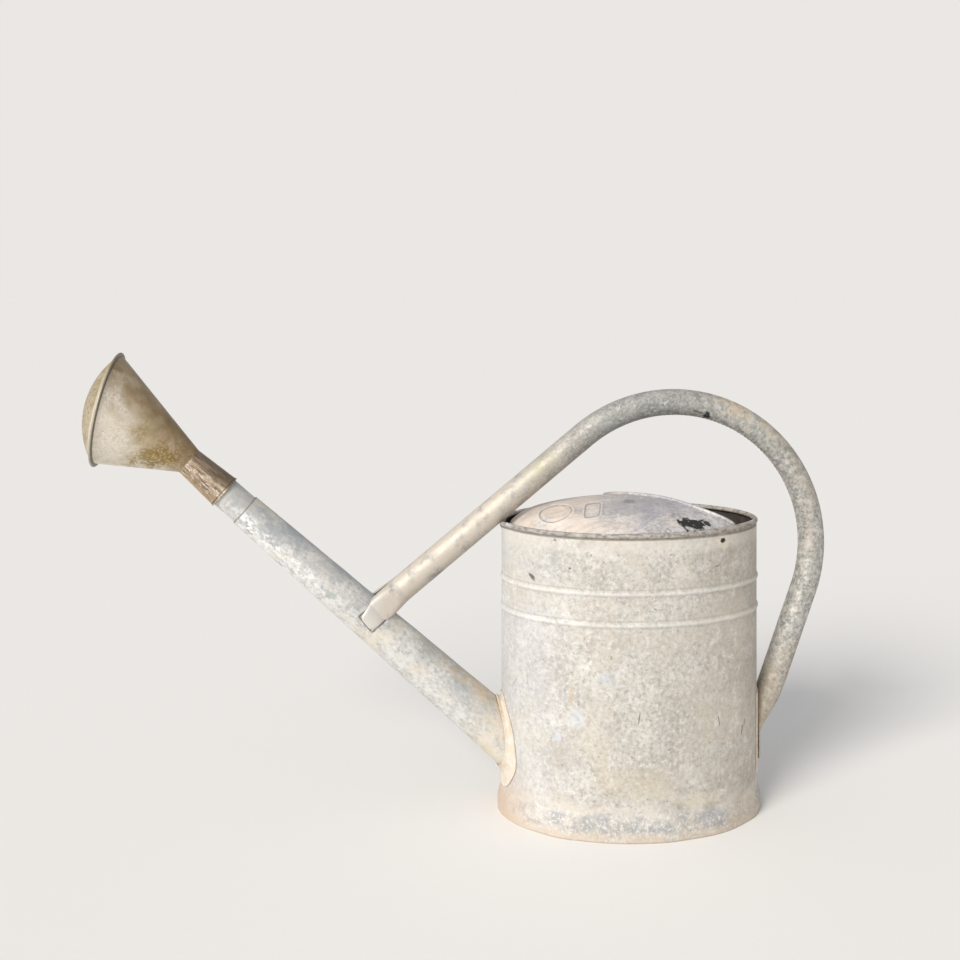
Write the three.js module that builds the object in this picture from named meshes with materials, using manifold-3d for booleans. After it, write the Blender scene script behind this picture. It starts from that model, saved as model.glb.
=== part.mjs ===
// A weathered galvanised watering can: oval body, half hood, straight spout, hoop handle, brass rose.
// Millimetres, +Z up. The spout points to -X and the handle's hoop stands out to +X.
// Shapes are drawn about the middle of the can's base. At the end the whole can is moved along X,
// so that the part's origin is the middle of its footprint, on the surface that it stands on.
import * as THREE from 'three';
import { mergeVertices } from 'three/addons/utils/BufferGeometryUtils.js';
import Module from 'manifold-3d';

// Sheet metal and fits
const sheet = 1.0;
const brassSheet = 0.8;
const gap = 0.3;

// Oval body
const bodyHalfLength = 138;
const bodyHalfWidth = 90.5;
const rimHeight = 306;
const rimInset = 1.5;
const rimWireRadius = 1.4;
const rimRollEnd = 235;
const swageHeights = [216.5, 248];
const swageRise = 1.9;
const swageHalfWidth = 3.6;
const footHeight = 27;
const footFlare = 4.0;
const bottomHeight = 12;
const bottomFlange = 8;
const bottomBend = 1.5;

// Wear on the rim: the saddle under the handle, the lip pulled out beside it, the raised back corner
const rimRampStart = 262;
const saddleDepth = 3.8;
const saddleHalfWidth = 9;
const lipPull = 3.5;
const lipSide = -13;
const lipHalfWidth = 9;
const cornerRise = 2.0;
const cornerAngle = -38;
const cornerSpread = 24;

// Hood over the front of the mouth, its free edge given as seen from above
const hoodBaseHeight = 302;
const hoodRise = 27.5;
const hoodRoundness = 0.6;
const hoodFlange = 7;
const hoodWireRadius = 1.3;
const hoodEdge = [[99.5, -52], [70, -38], [39, -9], [5, 20], [-17, 48], [-5, 68], [34, 80]];
const hoodDent = { x: 10, y: 66, depth: 3.5, spread: 24 };

// Spout
const spoutSlope = 41.9;
const spoutRootHeight = 79.5;
const spoutLength = 364.8;
const spoutRootRadius = 26.2;
const spoutTipRadius = 17.4;
const spoutHoleInset = 2.0;
const flangeMargin = 10;
const flangeDrop = 2.2;
const flangeRise = 7;
const flangeBend = 2.5;
const ferruleSunk = 22;
const ferruleShown = 27.6;

// Rose
const collarLength = 49;
const collarMouthRadius = 17.8;
const collarNeckRadius = 14.7;
const collarOverlap = 30;
const roseRimCentre = { x: -551.4, z: 429.7 };
const roseRimTilt = 12.2;
const roseConeRadius = 56.4;
const roseRimRadius = 60.4;
const roseConeSetBack = 3.5;
const roseDomeHeight = 25;
const roseDomeFoot = 1;
const roseFoldLevel = -3.2;
const roseFoldWidth = 3;
const roseHoleRadius = 1.3;
const roseHoleRings = 4;
const roseHolePitch = 11.5;

// Handle: straight from the spout, round over the can, straight down to the back
const handleRadius = 14;
const handleBend = { x: 48, z: 278, radius: 154 };
const handleFrontSlope = 39.4;
const handleBackLean = 19.6;
const forkHalfWidth = 10.5;
const forkTongue = 1.1;
const forkDrop = 3;
const forkTop = 46;
const forkSquareSpan = 34;
const forkHollowFrom = 12;
const forkNarrowTop = 16;
const forkNarrowSpan = 18;
const forkWrap = 0.6;
const forkSlotHalf = 7;
const forkSlotTip = 0.8;
const forkSlotTop = 50;
const strapTop = 79;
const strapFoot = 48;
const strapHalfWidth = 21;
const strapSlot = 0.6;
const strapEnding = 9;
const flattenStart = 134;
const patchHalfWidth = 29;
const patchTop = 124;
const patchFoot = 40;
const patchSteps = 8;

// Mesh fineness
const ovalSteps = 48;
const tubeSides = 26;
const handleSides = 20;
const roseSides = 32;
const roseHoleSides = 5;

const TAU = Math.PI * 2;
const rad = THREE.MathUtils.degToRad;
const vec = (x, y, z) => new THREE.Vector3(x, y, z);
const blend = (from, to, share) => from + (to - from) * share;
const clampShare = (value) => Math.min(1, Math.max(0, value));
const hill = (distance, spread) => Math.exp(-((distance / spread) ** 2));
const range = (count, pick) => Array.from({ length: count }, (unused, index) => pick(index));

const wasm = await Module();
wasm.setup();

// Closed meshes from grids of points

function meshFrom(points, faces) {
  let volume = 0;
  for (const [a, b, c] of faces) volume += points[a].dot(points[b].clone().cross(points[c]));
  const index = faces.flatMap(([a, b, c]) => (volume > 0 ? [a, b, c] : [a, c, b]));
  const geometry = new THREE.BufferGeometry();
  geometry.setAttribute('position', new THREE.Float32BufferAttribute(points.flatMap((p) => p.toArray()), 3));
  geometry.setIndex(index);
  geometry.computeVertexNormals();
  return geometry;
}

// A sheet of the given thickness about a grid of middle points, closed round on itself where wrap is set
function sheetFrom(middle, thickness, wrap) {
  const rows = middle.length;
  const columns = middle[0].length;
  const at = (i, k) => middle[wrap ? (i + rows) % rows : Math.min(rows - 1, Math.max(0, i))][k];
  const points = [];
  for (const side of [0.5, -0.5]) {
    for (let i = 0; i < rows; i += 1) {
      for (let k = 0; k < columns; k += 1) {
        const along = at(i + 1, k).clone().sub(at(i - 1, k));
        const across = at(i, Math.min(columns - 1, k + 1)).clone().sub(at(i, Math.max(0, k - 1)));
        const normal = along.cross(across).normalize();
        points.push(at(i, k).clone().addScaledVector(normal, side * thickness));
      }
    }
  }
  const inner = rows * columns;
  const id = (i, k) => (i % rows) * columns + k;
  const faces = [];
  const quad = (a, b, c, d) => faces.push([a, b, c], [a, c, d]);
  const spans = wrap ? rows : rows - 1;
  for (let i = 0; i < spans; i += 1) {
    for (let k = 0; k < columns - 1; k += 1) {
      quad(id(i, k), id(i, k + 1), id(i + 1, k + 1), id(i + 1, k));
      quad(inner + id(i, k), inner + id(i + 1, k), inner + id(i + 1, k + 1), inner + id(i, k + 1));
    }
    quad(id(i, 0), id(i + 1, 0), inner + id(i + 1, 0), inner + id(i, 0));
    const last = columns - 1;
    quad(id(i + 1, last), id(i, last), inner + id(i, last), inner + id(i + 1, last));
  }
  for (let k = 0; k < columns - 1 && !wrap; k += 1) {
    quad(id(0, k + 1), id(0, k), inner + id(0, k), inner + id(0, k + 1));
    quad(id(rows - 1, k), id(rows - 1, k + 1), inner + id(rows - 1, k + 1), inner + id(rows - 1, k));
  }
  return meshFrom(points, faces);
}

// A solid through closed rings of points, flat at both ends, or closed round where wrap is set
function loft(rings, wrap = false) {
  const count = rings[0].length;
  const points = rings.flat();
  const faces = [];
  const spans = wrap ? rings.length : rings.length - 1;
  for (let i = 0; i < spans; i += 1) {
    const next = (i + 1) % rings.length;
    for (let j = 0; j < count; j += 1) {
      const turn = (j + 1) % count;
      faces.push([i * count + j, next * count + j, next * count + turn]);
      faces.push([i * count + j, next * count + turn, i * count + turn]);
    }
  }
  if (wrap) return meshFrom(points, faces);
  for (const [ring, flip] of [[0, false], [rings.length - 1, true]]) {
    const middle = vec(0, 0, 0);
    rings[ring].forEach((p) => middle.addScaledVector(p, 1 / count));
    points.push(middle);
    for (let j = 0; j < count; j += 1) {
      const a = ring * count + j;
      const b = ring * count + ((j + 1) % count);
      faces.push(flip ? [points.length - 1, b, a] : [points.length - 1, a, b]);
    }
  }
  return meshFrom(points, faces);
}

// Cuts between closed meshes

function solid(geometry) {
  const bare = geometry.clone();
  bare.deleteAttribute('normal');
  bare.deleteAttribute('uv');
  const merged = mergeVertices(bare, 1e-4);
  return new wasm.Manifold(new wasm.Mesh({
    numProp: 3,
    vertProperties: new Float32Array(merged.attributes.position.array),
    triVerts: new Uint32Array(merged.index.array),
  }));
}

function cut(geometry, ...tools) {
  let body = solid(geometry);
  for (const tool of tools) body = body.subtract(solid(tool));
  const mesh = body.getMesh();
  const result = new THREE.BufferGeometry();
  result.setAttribute('position', new THREE.BufferAttribute(new Float32Array(mesh.vertProperties), 3));
  result.setIndex(new THREE.BufferAttribute(new Uint32Array(mesh.triVerts), 1));
  result.computeVertexNormals();
  return result;
}

// The oval, and what wear did to its upper edge

const angles = (() => {
  const even = range(ovalSteps, (i) => (i * TAU) / ovalSteps);
  const front = [-1.5, -0.5, 0.5, 1.5].map((step) => Math.PI + (step * TAU) / ovalSteps);
  return [...even, ...front].sort((a, b) => a - b);
})();

function oval(out, angle, z) {
  return vec((bodyHalfLength + out) * Math.cos(angle), (bodyHalfWidth + out) * Math.sin(angle), z);
}

const rimCurlRadius = rimWireRadius + gap + sheet / 2;

// How far the rim stands up or is pressed down, and how far it is pulled out, at an angle round the can
function rimWear(angle) {
  const side = bodyHalfWidth * Math.sin(angle);
  const front = Math.cos(angle) < 0 ? 1 : 0;
  const turned = Math.atan2(Math.sin(angle - rad(cornerAngle)), Math.cos(angle - rad(cornerAngle)));
  return {
    up: cornerRise * hill(turned, rad(cornerSpread)) - front * saddleDepth * hill(side, saddleHalfWidth),
    out: front * lipPull * hill(side - lipSide, lipHalfWidth),
  };
}

function worn(out, angle, z) {
  const curlFoot = rimHeight - rimCurlRadius - sheet;
  const share = clampShare((z - rimRampStart) / (curlFoot - rimRampStart)) ** 2;
  const wear = rimWear(angle);
  return oval(out + wear.out * share ** 3, angle, z + wear.up * share);
}

// Wall, rim, bottom

function curl(centre, radius, fromTurn, toTurn, steps) {
  return range(steps + 1, (i) => {
    const turn = rad(blend(fromTurn, toTurn, i / steps));
    return [centre[0] + radius * Math.cos(turn), centre[1] + radius * Math.sin(turn)];
  });
}

const wallMiddle = -sheet / 2;

function wallPath() {
  const path = [
    [footFlare, 0], [footFlare, footHeight * 0.3], [footFlare * 0.8, footHeight * 0.58],
    [footFlare * 0.25, footHeight * 0.87], [0, footHeight],
  ].map(([out, z]) => [out + wallMiddle, z]);
  for (const height of swageHeights) {
    for (const [share, out] of [[-1, 0], [-0.35, 1], [0.35, 1], [1, 0]]) {
      path.push([wallMiddle + out * swageRise, height + share * swageHalfWidth]);
    }
  }
  path.push([wallMiddle, rimRampStart + 8]);
  const startTurn = THREE.MathUtils.radToDeg(-Math.acos((rimInset + wallMiddle) / rimCurlRadius));
  return path.concat(curl([-rimInset, rimHeight], rimCurlRadius, startTurn, rimRollEnd, 7));
}

const spoutDirection = vec(-Math.cos(rad(spoutSlope)), 0, Math.sin(rad(spoutSlope)));
const spoutRoot = vec(-bodyHalfLength, 0, spoutRootHeight);
const spoutAcross = vec(0, -1, 0);
const spoutUpper = spoutAcross.clone().cross(spoutDirection).negate();

function spoutRadius(run) {
  return blend(spoutRootRadius, spoutTipRadius, run / spoutLength);
}

function onSpout(run, radius, turn) {
  return spoutRoot.clone()
    .addScaledVector(spoutDirection, run)
    .addScaledVector(spoutUpper, radius * Math.cos(turn))
    .addScaledVector(spoutAcross, radius * Math.sin(turn));
}

function spoutRod(grow, fromRun, toRun, sides) {
  const ring = (run) => range(sides, (j) => onSpout(run, spoutRadius(run) + grow, (j * TAU) / sides));
  return loft([ring(fromRun), ring(toRun)]);
}

function makeBodyWall() {
  const path = wallPath();
  const wall = sheetFrom(angles.map((angle) => path.map(([out, z]) => worn(out, angle, z))), sheet, true);
  return cut(wall, spoutRod(-sheet - spoutHoleInset, -60, 40, tubeSides));
}

function makeRimWire() {
  const section = range(6, (j) => curl([-rimInset, rimHeight], rimWireRadius, j * 60, 0, 1)[0]);
  return loft(angles.map((angle) => section.map(([out, z]) => worn(out, angle, z))), true);
}

function makeBottomPlate() {
  const reach = footFlare * 0.8 - sheet - gap;
  const profile = [
    [reach - bottomBend, bottomHeight], [reach, bottomHeight - bottomBend],
    [reach, bottomHeight - bottomFlange],
    [reach - sheet, bottomHeight - bottomFlange], [reach - sheet, bottomHeight - bottomBend],
    [reach - bottomBend, bottomHeight - sheet],
  ];
  return loft(profile.map(([out, z]) => angles.map((angle) => oval(out, angle, z))));
}

// Hood

const hoodFlangeOut = -sheet - gap * 2 - sheet / 2;
const hoodOut = -rimInset - rimCurlRadius - sheet - gap * 2;

// A point at the hood's own edge, which is pressed down as far as the rim above it
function hoodRim(out, turn, height) {
  return oval(out, turn, height + rimWear(turn).up);
}

function hoodHeight(x, y) {
  const spread = (x / (bodyHalfLength + hoodOut)) ** 2 + (y / (bodyHalfWidth + hoodOut)) ** 2;
  const dent = hoodDent.depth * hill(Math.hypot(x - hoodDent.x, y - hoodDent.y), hoodDent.spread);
  const dome = hoodRise * clampShare(1 - spread) ** hoodRoundness;
  return hoodBaseHeight + Math.max(0, dome - dent);
}

const hoodEdgeCurve = new THREE.CatmullRomCurve3(
  hoodEdge.map(([x, y]) => vec(x, y, 0)), false, 'centripetal',
);
const hoodCurlRadius = hoodWireRadius + gap + sheet / 2;
const hoodTurnFrom = Math.atan2(hoodEdge[0][1] / bodyHalfWidth, hoodEdge[0][0] / bodyHalfLength) + TAU;
const hoodTurnTo = Math.atan2(hoodEdge.at(-1)[1] / bodyHalfWidth, hoodEdge.at(-1)[0] / bodyHalfLength);

function hoodEdgePoint(share) {
  const point = hoodEdgeCurve.getPoint(share);
  return point.setZ(hoodHeight(point.x, point.y));
}

// The rolled edge's own directions: away from the hood, and up from its surface
function hoodEdgeFrame(share) {
  const step = 0.01;
  const ahead = hoodEdgePoint(Math.min(1, share + step));
  const tangent = ahead.sub(hoodEdgePoint(Math.max(0, share - step))).normalize();
  const away = vec(-tangent.y, tangent.x, 0).normalize().negate();
  return { away, up: tangent.clone().cross(away).normalize().multiplyScalar(-1) };
}

function aroundHoodEdge(share, radius, turn) {
  const { away, up } = hoodEdgeFrame(share);
  const lift = up.z < 0 ? -1 : 1;
  return hoodEdgePoint(share)
    .addScaledVector(up, lift * hoodCurlRadius)
    .addScaledVector(away, radius * Math.cos(turn))
    .addScaledVector(up, lift * radius * Math.sin(turn));
}

const hoodSteps = 32;
const hoodShares = range(hoodSteps + 1, (i) => i / hoodSteps);

function makeHood() {
  const ribs = [0.05, 0.14, 0.28, 0.46, 0.66, 0.85, 1];
  const grid = hoodShares.map((share) => {
    const turn = blend(hoodTurnFrom, hoodTurnTo, share);
    const rim = hoodRim(hoodOut, turn, hoodBaseHeight);
    const edge = hoodEdgeCurve.getPoint(share);
    const row = [
      hoodRim(hoodFlangeOut, turn, hoodBaseHeight - hoodFlange),
      hoodRim(hoodFlangeOut, turn, hoodBaseHeight - 1),
      rim,
    ];
    for (const rib of ribs) {
      const x = blend(rim.x, edge.x, rib);
      const y = blend(rim.y, edge.y, rib);
      const pressed = (rim.z - hoodBaseHeight) * clampShare(1 - rib * 4);
      row.push(vec(x, y, hoodHeight(x, y) + pressed));
    }
    for (const turnUp of [-50, -5, 40, 85, 130, 175, 215]) {
      row.push(aroundHoodEdge(share, hoodCurlRadius, rad(turnUp)));
    }
    return row;
  });
  return sheetFrom(grid, sheet, false);
}

function makeHoodWire() {
  return loft(hoodShares.map((share) => (
    range(6, (j) => aroundHoodEdge(share, hoodWireRadius, (j * TAU) / 6))
  )));
}

// Spout and its root flange

// Where the line from one point to another meets the oval wall, grown by the given amount
function hitWall(from, to, grow) {
  const [a, b] = [bodyHalfLength + grow, bodyHalfWidth + grow];
  const step = to.clone().sub(from);
  const p = (step.x / a) ** 2 + (step.y / b) ** 2;
  const q = (from.x * step.x) / a ** 2 + (from.y * step.y) / b ** 2;
  const r = (from.x / a) ** 2 + (from.y / b) ** 2 - 1;
  const share = (-q + Math.sqrt(q * q - p * r)) / p;
  return from.clone().addScaledVector(step, share);
}

function makeSpoutTube() {
  const middle = -sheet / 2;
  const grid = range(tubeSides, (j) => {
    const turn = (j * TAU) / tubeSides;
    const start = onSpout(-40, spoutRadius(-40) + middle, turn);
    const end = onSpout(spoutLength, spoutTipRadius + middle, turn);
    const foot = hitWall(start, end, gap + sheet * 0.6);
    return [foot, foot.clone().lerp(end, 0.5), end];
  });
  return sheetFrom(grid, sheet, true);
}

function makeSpoutFlange() {
  const stand = gap * 1.5 + sheet / 2;
  const grid = range(32, (j) => {
    const turn = (j * TAU) / 32;
    const line = (grow) => [-40, 200].map((run) => onSpout(run, spoutRadius(run) + grow, turn));
    const margin = flangeMargin - flangeDrop * Math.cos(turn);
    const corner = hitWall(...line(stand + 0.2), stand);
    const lip = corner.clone().addScaledVector(spoutDirection, flangeRise);
    const outer = range(4, (k) => hitWall(...line(blend(margin, stand + flangeBend, k / 3)), stand));
    const start = outer.at(-1);
    const round = [0.35, 0.7].map((t) => start.clone().lerp(corner, t).lerp(corner.clone().lerp(lip, t), t));
    return [...outer, ...round, lip];
  });
  return sheetFrom(grid, sheet, true);
}

// A tube about the spout's axis through [run, outer radius] stations
function axialTube(stations, thickness, sides) {
  const grid = range(sides, (j) => stations.map(([run, radius]) => (
    onSpout(run, radius - thickness / 2, (j * TAU) / sides))));
  return sheetFrom(grid, thickness, true);
}

const ferruleRadius = spoutTipRadius - sheet - gap;
const collarStart = spoutLength + ferruleShown;
const collarTaper = (collarMouthRadius - collarNeckRadius) / collarLength;
const ferruleBend = (collarMouthRadius - brassSheet - gap - ferruleRadius) / collarTaper;

function makeFerrule() {
  const endRadius = ferruleRadius - (collarOverlap - ferruleBend) * collarTaper;
  return axialTube([
    [spoutLength - ferruleSunk, ferruleRadius], [collarStart + ferruleBend, ferruleRadius],
    [collarStart + collarOverlap, endRadius],
  ], sheet, tubeSides);
}

// Rose

function makeRoseCollar() {
  return axialTube([
    [collarStart, collarMouthRadius], [collarStart + collarLength, collarNeckRadius],
  ], brassSheet, tubeSides);
}

const roseAxis = vec(-Math.cos(rad(roseRimTilt)), 0, Math.sin(rad(roseRimTilt)));
const roseUpper = vec(Math.sin(rad(roseRimTilt)), 0, Math.cos(rad(roseRimTilt)));
const roseFlangeLevel = -1.4;

function onRose(radius, level, turn) {
  return vec(roseRimCentre.x, 0, roseRimCentre.z)
    .addScaledVector(roseAxis, level)
    .addScaledVector(roseUpper, radius * Math.cos(turn))
    .addScaledVector(spoutAcross, radius * Math.sin(turn));
}

function makeRoseCone() {
  const neckRun = collarStart + collarLength + gap + brassSheet / 2;
  const flangeReach = roseRimRadius - brassSheet - gap - 0.4;
  const grid = range(roseSides, (j) => {
    const turn = (j * TAU) / roseSides;
    const neck = onSpout(neckRun, collarNeckRadius - brassSheet / 2, turn);
    const wide = onRose(roseConeRadius - brassSheet / 2, -roseConeSetBack, turn);
    const flare = onRose(roseConeRadius, roseFlangeLevel - 0.9, turn);
    const brim = onRose(roseConeRadius + 1, roseFlangeLevel, turn);
    return [
      neck, neck.clone().lerp(wide, 0.5), wide, flare, brim, onRose(flangeReach, roseFlangeLevel, turn),
    ];
  });
  return sheetFrom(grid, brassSheet, true);
}

function makeRoseFace() {
  const half = brassSheet / 2;
  const plateRadius = roseConeRadius - roseDomeFoot;
  const rise = roseDomeHeight - roseDomeFoot;
  const sphere = (plateRadius ** 2 + rise ** 2) / (2 * rise);
  const domeLevel = (radius) => roseDomeHeight - (sphere - Math.sqrt(sphere ** 2 - radius ** 2));
  const lip = roseRimRadius - half;
  const middle = [0.12, 0.4, 0.7, 1].map((share) => [share * plateRadius, domeLevel(share * plateRadius)]);
  middle.push([lip - 1.2, 0.7], [lip, -0.4], [lip, roseFoldLevel + 1]);
  middle.push([lip - 1, roseFoldLevel], [lip - roseFoldWidth, roseFoldLevel]);
  const side = (k, grow) => {
    const [before, after] = [middle[Math.max(0, k - 1)], middle[Math.min(middle.length - 1, k + 1)]];
    const [dr, dl] = [after[0] - before[0], after[1] - before[1]];
    const size = Math.hypot(dr, dl);
    return [middle[k][0] - (dl / size) * grow, middle[k][1] + (dr / size) * grow];
  };
  const rounds = [...middle.map((p, k) => side(k, half)), ...middle.map((p, k) => side(k, -half)).reverse()];
  const ring = ([radius, level]) => range(roseSides, (j) => onRose(radius, level, (j * TAU) / roseSides));
  return cut(loft(rounds.map(ring)), ...roseHoles());
}

// Holes in hexagonal rings, all drilled along the rose's own axis
function roseHoles() {
  const centres = [[0, 0]];
  for (let ring = 1; ring <= roseHoleRings; ring += 1) {
    for (let k = 0; k < ring * 6; k += 1) {
      centres.push([ring * roseHolePitch, (k * TAU) / (ring * 6)]);
    }
  }
  return centres.map(([reach, turn]) => {
    const middle = onRose(reach, 0, turn);
    const ring = (level) => range(roseHoleSides, (j) => middle.clone()
      .addScaledVector(roseAxis, level)
      .addScaledVector(roseUpper, roseHoleRadius * Math.cos((j * TAU) / roseHoleSides))
      .addScaledVector(spoutAcross, roseHoleRadius * Math.sin((j * TAU) / roseHoleSides)));
    return loft([ring(2), ring(roseDomeHeight + 6)]);
  });
}

// Handle

const frontAlong = vec(Math.cos(rad(handleFrontSlope)), 0, Math.sin(rad(handleFrontSlope)));
const frontTangent = vec(
  handleBend.x - handleBend.radius * Math.sin(rad(handleFrontSlope)), 0,
  handleBend.z + handleBend.radius * Math.cos(rad(handleFrontSlope)));
const backTangent = vec(
  handleBend.x + handleBend.radius * Math.cos(rad(handleBackLean)), 0,
  handleBend.z - handleBend.radius * Math.sin(rad(handleBackLean)));

// The handle's middle line meets the spout's axis here
const forkRoot = (() => {
  const away = frontTangent.clone().sub(spoutRoot);
  const turn = frontAlong.x * spoutDirection.z - frontAlong.z * spoutDirection.x;
  const back = (away.x * spoutDirection.z - away.z * spoutDirection.x) / turn;
  return frontTangent.clone().addScaledVector(frontAlong, -back);
})();
const forkRun = forkRoot.clone().sub(spoutRoot).dot(spoutDirection);
const forkReach = spoutRadius(forkRun) + gap + forkTongue;

// Outline of the tube at a height over the spout's axis: rounded box at the fork, circle above it
function forkSection(height, grow) {
  const open = clampShare((forkTop - height) / forkSquareSpan);
  const eased = open * open * (3 - 2 * open);
  const wrapHeight = forkReach * forkWrap;
  const wrapWidth = Math.sqrt(forkReach ** 2 - Math.min(height, wrapHeight) ** 2);
  const leaving = clampShare((forkTop - height) / (forkTop - wrapHeight)) ** 1.6;
  const wide = height < wrapHeight ? wrapWidth : blend(handleRadius, wrapWidth, leaving);
  const narrow = blend(handleRadius, forkHalfWidth, clampShare((forkNarrowTop - height) / forkNarrowSpan));
  const power = 2 / blend(2, 8, eased);
  return range(handleSides, (j) => {
    const turn = (j * TAU) / handleSides;
    const [c, s] = [Math.cos(turn), Math.sin(turn)];
    return [
      Math.sign(c) * Math.abs(c) ** power * (narrow + grow),
      Math.sign(s) * Math.abs(s) ** power * (wide + grow),
    ];
  });
}

function circleSection(grow) {
  return range(handleSides, (j) => {
    const turn = (j * TAU) / handleSides;
    return [Math.cos(turn) * (handleRadius + grow), Math.sin(turn) * (handleRadius + grow)];
  });
}

function place(centre, outward, section) {
  return section.map(([out, side]) => centre.clone().addScaledVector(outward, out).setY(side));
}

const patchOuter = gap + sheet;
const strapHalf = sheet + strapSlot / 2;

// The tube flattens into a strap that follows the back of the body
function backRing(height, grow) {
  const pressed = clampShare((flattenStart - height) / (flattenStart - strapTop)) ** 3;
  const lean = Math.tan(rad(handleBackLean));
  const centre = vec(backTangent.x - (backTangent.z - Math.max(height, strapTop)) * lean, 0, height);
  const outward = vec(Math.cos(rad(handleBackLean)), 0, -Math.sin(rad(handleBackLean)));
  const ending = clampShare((strapFoot + strapEnding - height) / strapEnding);
  const half = (strapHalfWidth + grow) * Math.sqrt(1 - 0.6 * ending ** 2);
  return range(handleSides, (j) => {
    const turn = (j * TAU) / handleSides;
    const [c, s] = [Math.cos(turn), Math.sin(turn)];
    const round = centre.clone().addScaledVector(outward, c * (handleRadius + grow))
      .setY(s * (handleRadius + grow));
    const side = half * s;
    const deep = patchOuter + gap + strapHalf + Math.sign(c) * Math.abs(c) ** 0.35 * (strapHalf + grow);
    const flat = onBack(side, deep, height);
    const point = round.lerp(flat, pressed);
    const least = onBack(point.y, patchOuter + gap - grow, point.z);
    return point.x < least.x ? least : point;
  });
}

function onBack(side, out, z) {
  const turn = Math.asin(Math.max(-1, Math.min(1, side / (bodyHalfWidth + out))));
  return vec((bodyHalfLength + out) * Math.cos(turn), side, z);
}

function handleRings(grow, forkFrom) {
  const up = vec(-Math.sin(rad(handleFrontSlope)), 0, Math.cos(rad(handleFrontSlope)));
  const fromRoot = (height) => forkRoot.clone().addScaledVector(frontAlong, height);
  const run = frontTangent.distanceTo(forkRoot);
  const rings = [-forkDrop, 3, 8, forkHollowFrom, 17, 23, 30, 38, forkTop]
    .filter((height) => height >= forkFrom)
    .map((height) => place(fromRoot(height), up, forkSection(height, grow)));
  rings.push(place(fromRoot((run + forkTop) / 2), up, circleSection(grow)));
  const [first, last] = [90 + handleFrontSlope, -handleBackLean];
  const bendSteps = 18;
  for (let i = 0; i <= bendSteps; i += 1) {
    const turn = rad(blend(first, last, i / bendSteps));
    const out = vec(Math.cos(turn), 0, Math.sin(turn));
    const centre = vec(handleBend.x, 0, handleBend.z).addScaledVector(out, handleBend.radius);
    rings.push(place(centre, out, circleSection(grow)));
  }
  const flattening = [0, 0.22, 0.4, 0.58, 0.75, 0.87, 1].map((share) => blend(flattenStart, strapTop, share));
  const ending = [strapEnding, strapEnding / 2].map((above) => strapFoot + above);
  const bendHeight = (backTangent.z + flattenStart) / 2;
  const strapHeight = (strapTop + ending[0]) / 2;
  for (const height of [bendHeight, ...flattening, strapHeight, ...ending]) {
    rings.push(backRing(height, grow));
  }
  rings.push(backRing(grow ? strapFoot - 3 : strapFoot, grow));
  return rings;
}

function forkSlot() {
  const across = vec(-Math.sin(rad(handleFrontSlope)), 0, Math.cos(rad(handleFrontSlope)));
  const corner = (height, side, out) => forkRoot.clone()
    .addScaledVector(frontAlong, height).addScaledVector(across, out).setY(side);
  const ring = (out) => [
    corner(forkHollowFrom, -forkSlotHalf, out), corner(forkHollowFrom, forkSlotHalf, out),
    corner(forkSlotTop, forkSlotTip, out), corner(forkSlotTop, -forkSlotTip, out),
  ];
  return loft([ring(-handleRadius * 2), ring(handleRadius * 2)]);
}

function makeHandle() {
  const tube = loft(handleRings(0, -forkDrop));
  const hollow = loft(handleRings(-sheet, forkHollowFrom));
  const spout = spoutRod(gap, forkRun - 60, forkRun + 60, 36);
  return cut(tube, hollow, spout, forkSlot());
}

function makeHandlePatch() {
  const grid = range(patchSteps + 1, (i) => {
    const side = blend(-patchHalfWidth, patchHalfWidth, i / patchSteps);
    return [patchFoot, (patchFoot + patchTop) / 2, patchTop].map((z) => onBack(side, gap + sheet / 2, z));
  });
  return sheetFrom(grid, sheet, false);
}

// Materials and the assembled can

const zinc = (color, roughness) => new THREE.MeshStandardMaterial({ color, roughness, metalness: 0.55 });
const brass = (color) => new THREE.MeshStandardMaterial({ color, roughness: 0.62, metalness: 0.6 });

const pieces = [
  ['body_wall', makeBodyWall, zinc(0xd3d0c8, 0.72)],
  ['rim_wire', makeRimWire, zinc(0x8d8c88, 0.6)],
  ['bottom_plate', makeBottomPlate, zinc(0xb9b5ab, 0.75)],
  ['hood', makeHood, zinc(0xc9c3bb, 0.7)],
  ['hood_edge_wire', makeHoodWire, zinc(0x8d8c88, 0.6)],
  ['spout_tube', makeSpoutTube, zinc(0xc6c6c0, 0.62)],
  ['spout_flange', makeSpoutFlange, zinc(0xd8c6ae, 0.75)],
  ['spout_ferrule', makeFerrule, zinc(0xa9adad, 0.6)],
  ['handle_tube', makeHandle, zinc(0xa5a9a4, 0.6)],
  ['handle_back_patch', makeHandlePatch, zinc(0xc9b99f, 0.75)],
  ['rose_collar', makeRoseCollar, brass(0x8a7153)],
  ['rose_cone', makeRoseCone, brass(0xa89b7c)],
  ['rose_face', makeRoseFace, brass(0x94845f)],
];

const can = new THREE.Group();
for (const [name, make, material] of pieces) {
  const mesh = new THREE.Mesh(make(), material);
  mesh.name = name;
  can.add(mesh);
}

const footprint = new THREE.Box3().setFromObject(can);
can.position.x = -(footprint.min.x + footprint.max.x) / 2;

const wateringCan = new THREE.Group();
wateringCan.add(can);

export default wateringCan;
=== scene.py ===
"""A weathered galvanised watering can with a brass rose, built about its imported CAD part.

Shapes are drawn in millimetres about the middle of the can's base, as in the part, and moved
into the part's own frame at the end. The spout points to -X and the camera looks along +Y.
"""
import math

import bmesh
import bpy
import numpy as np
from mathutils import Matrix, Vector, noise


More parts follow.
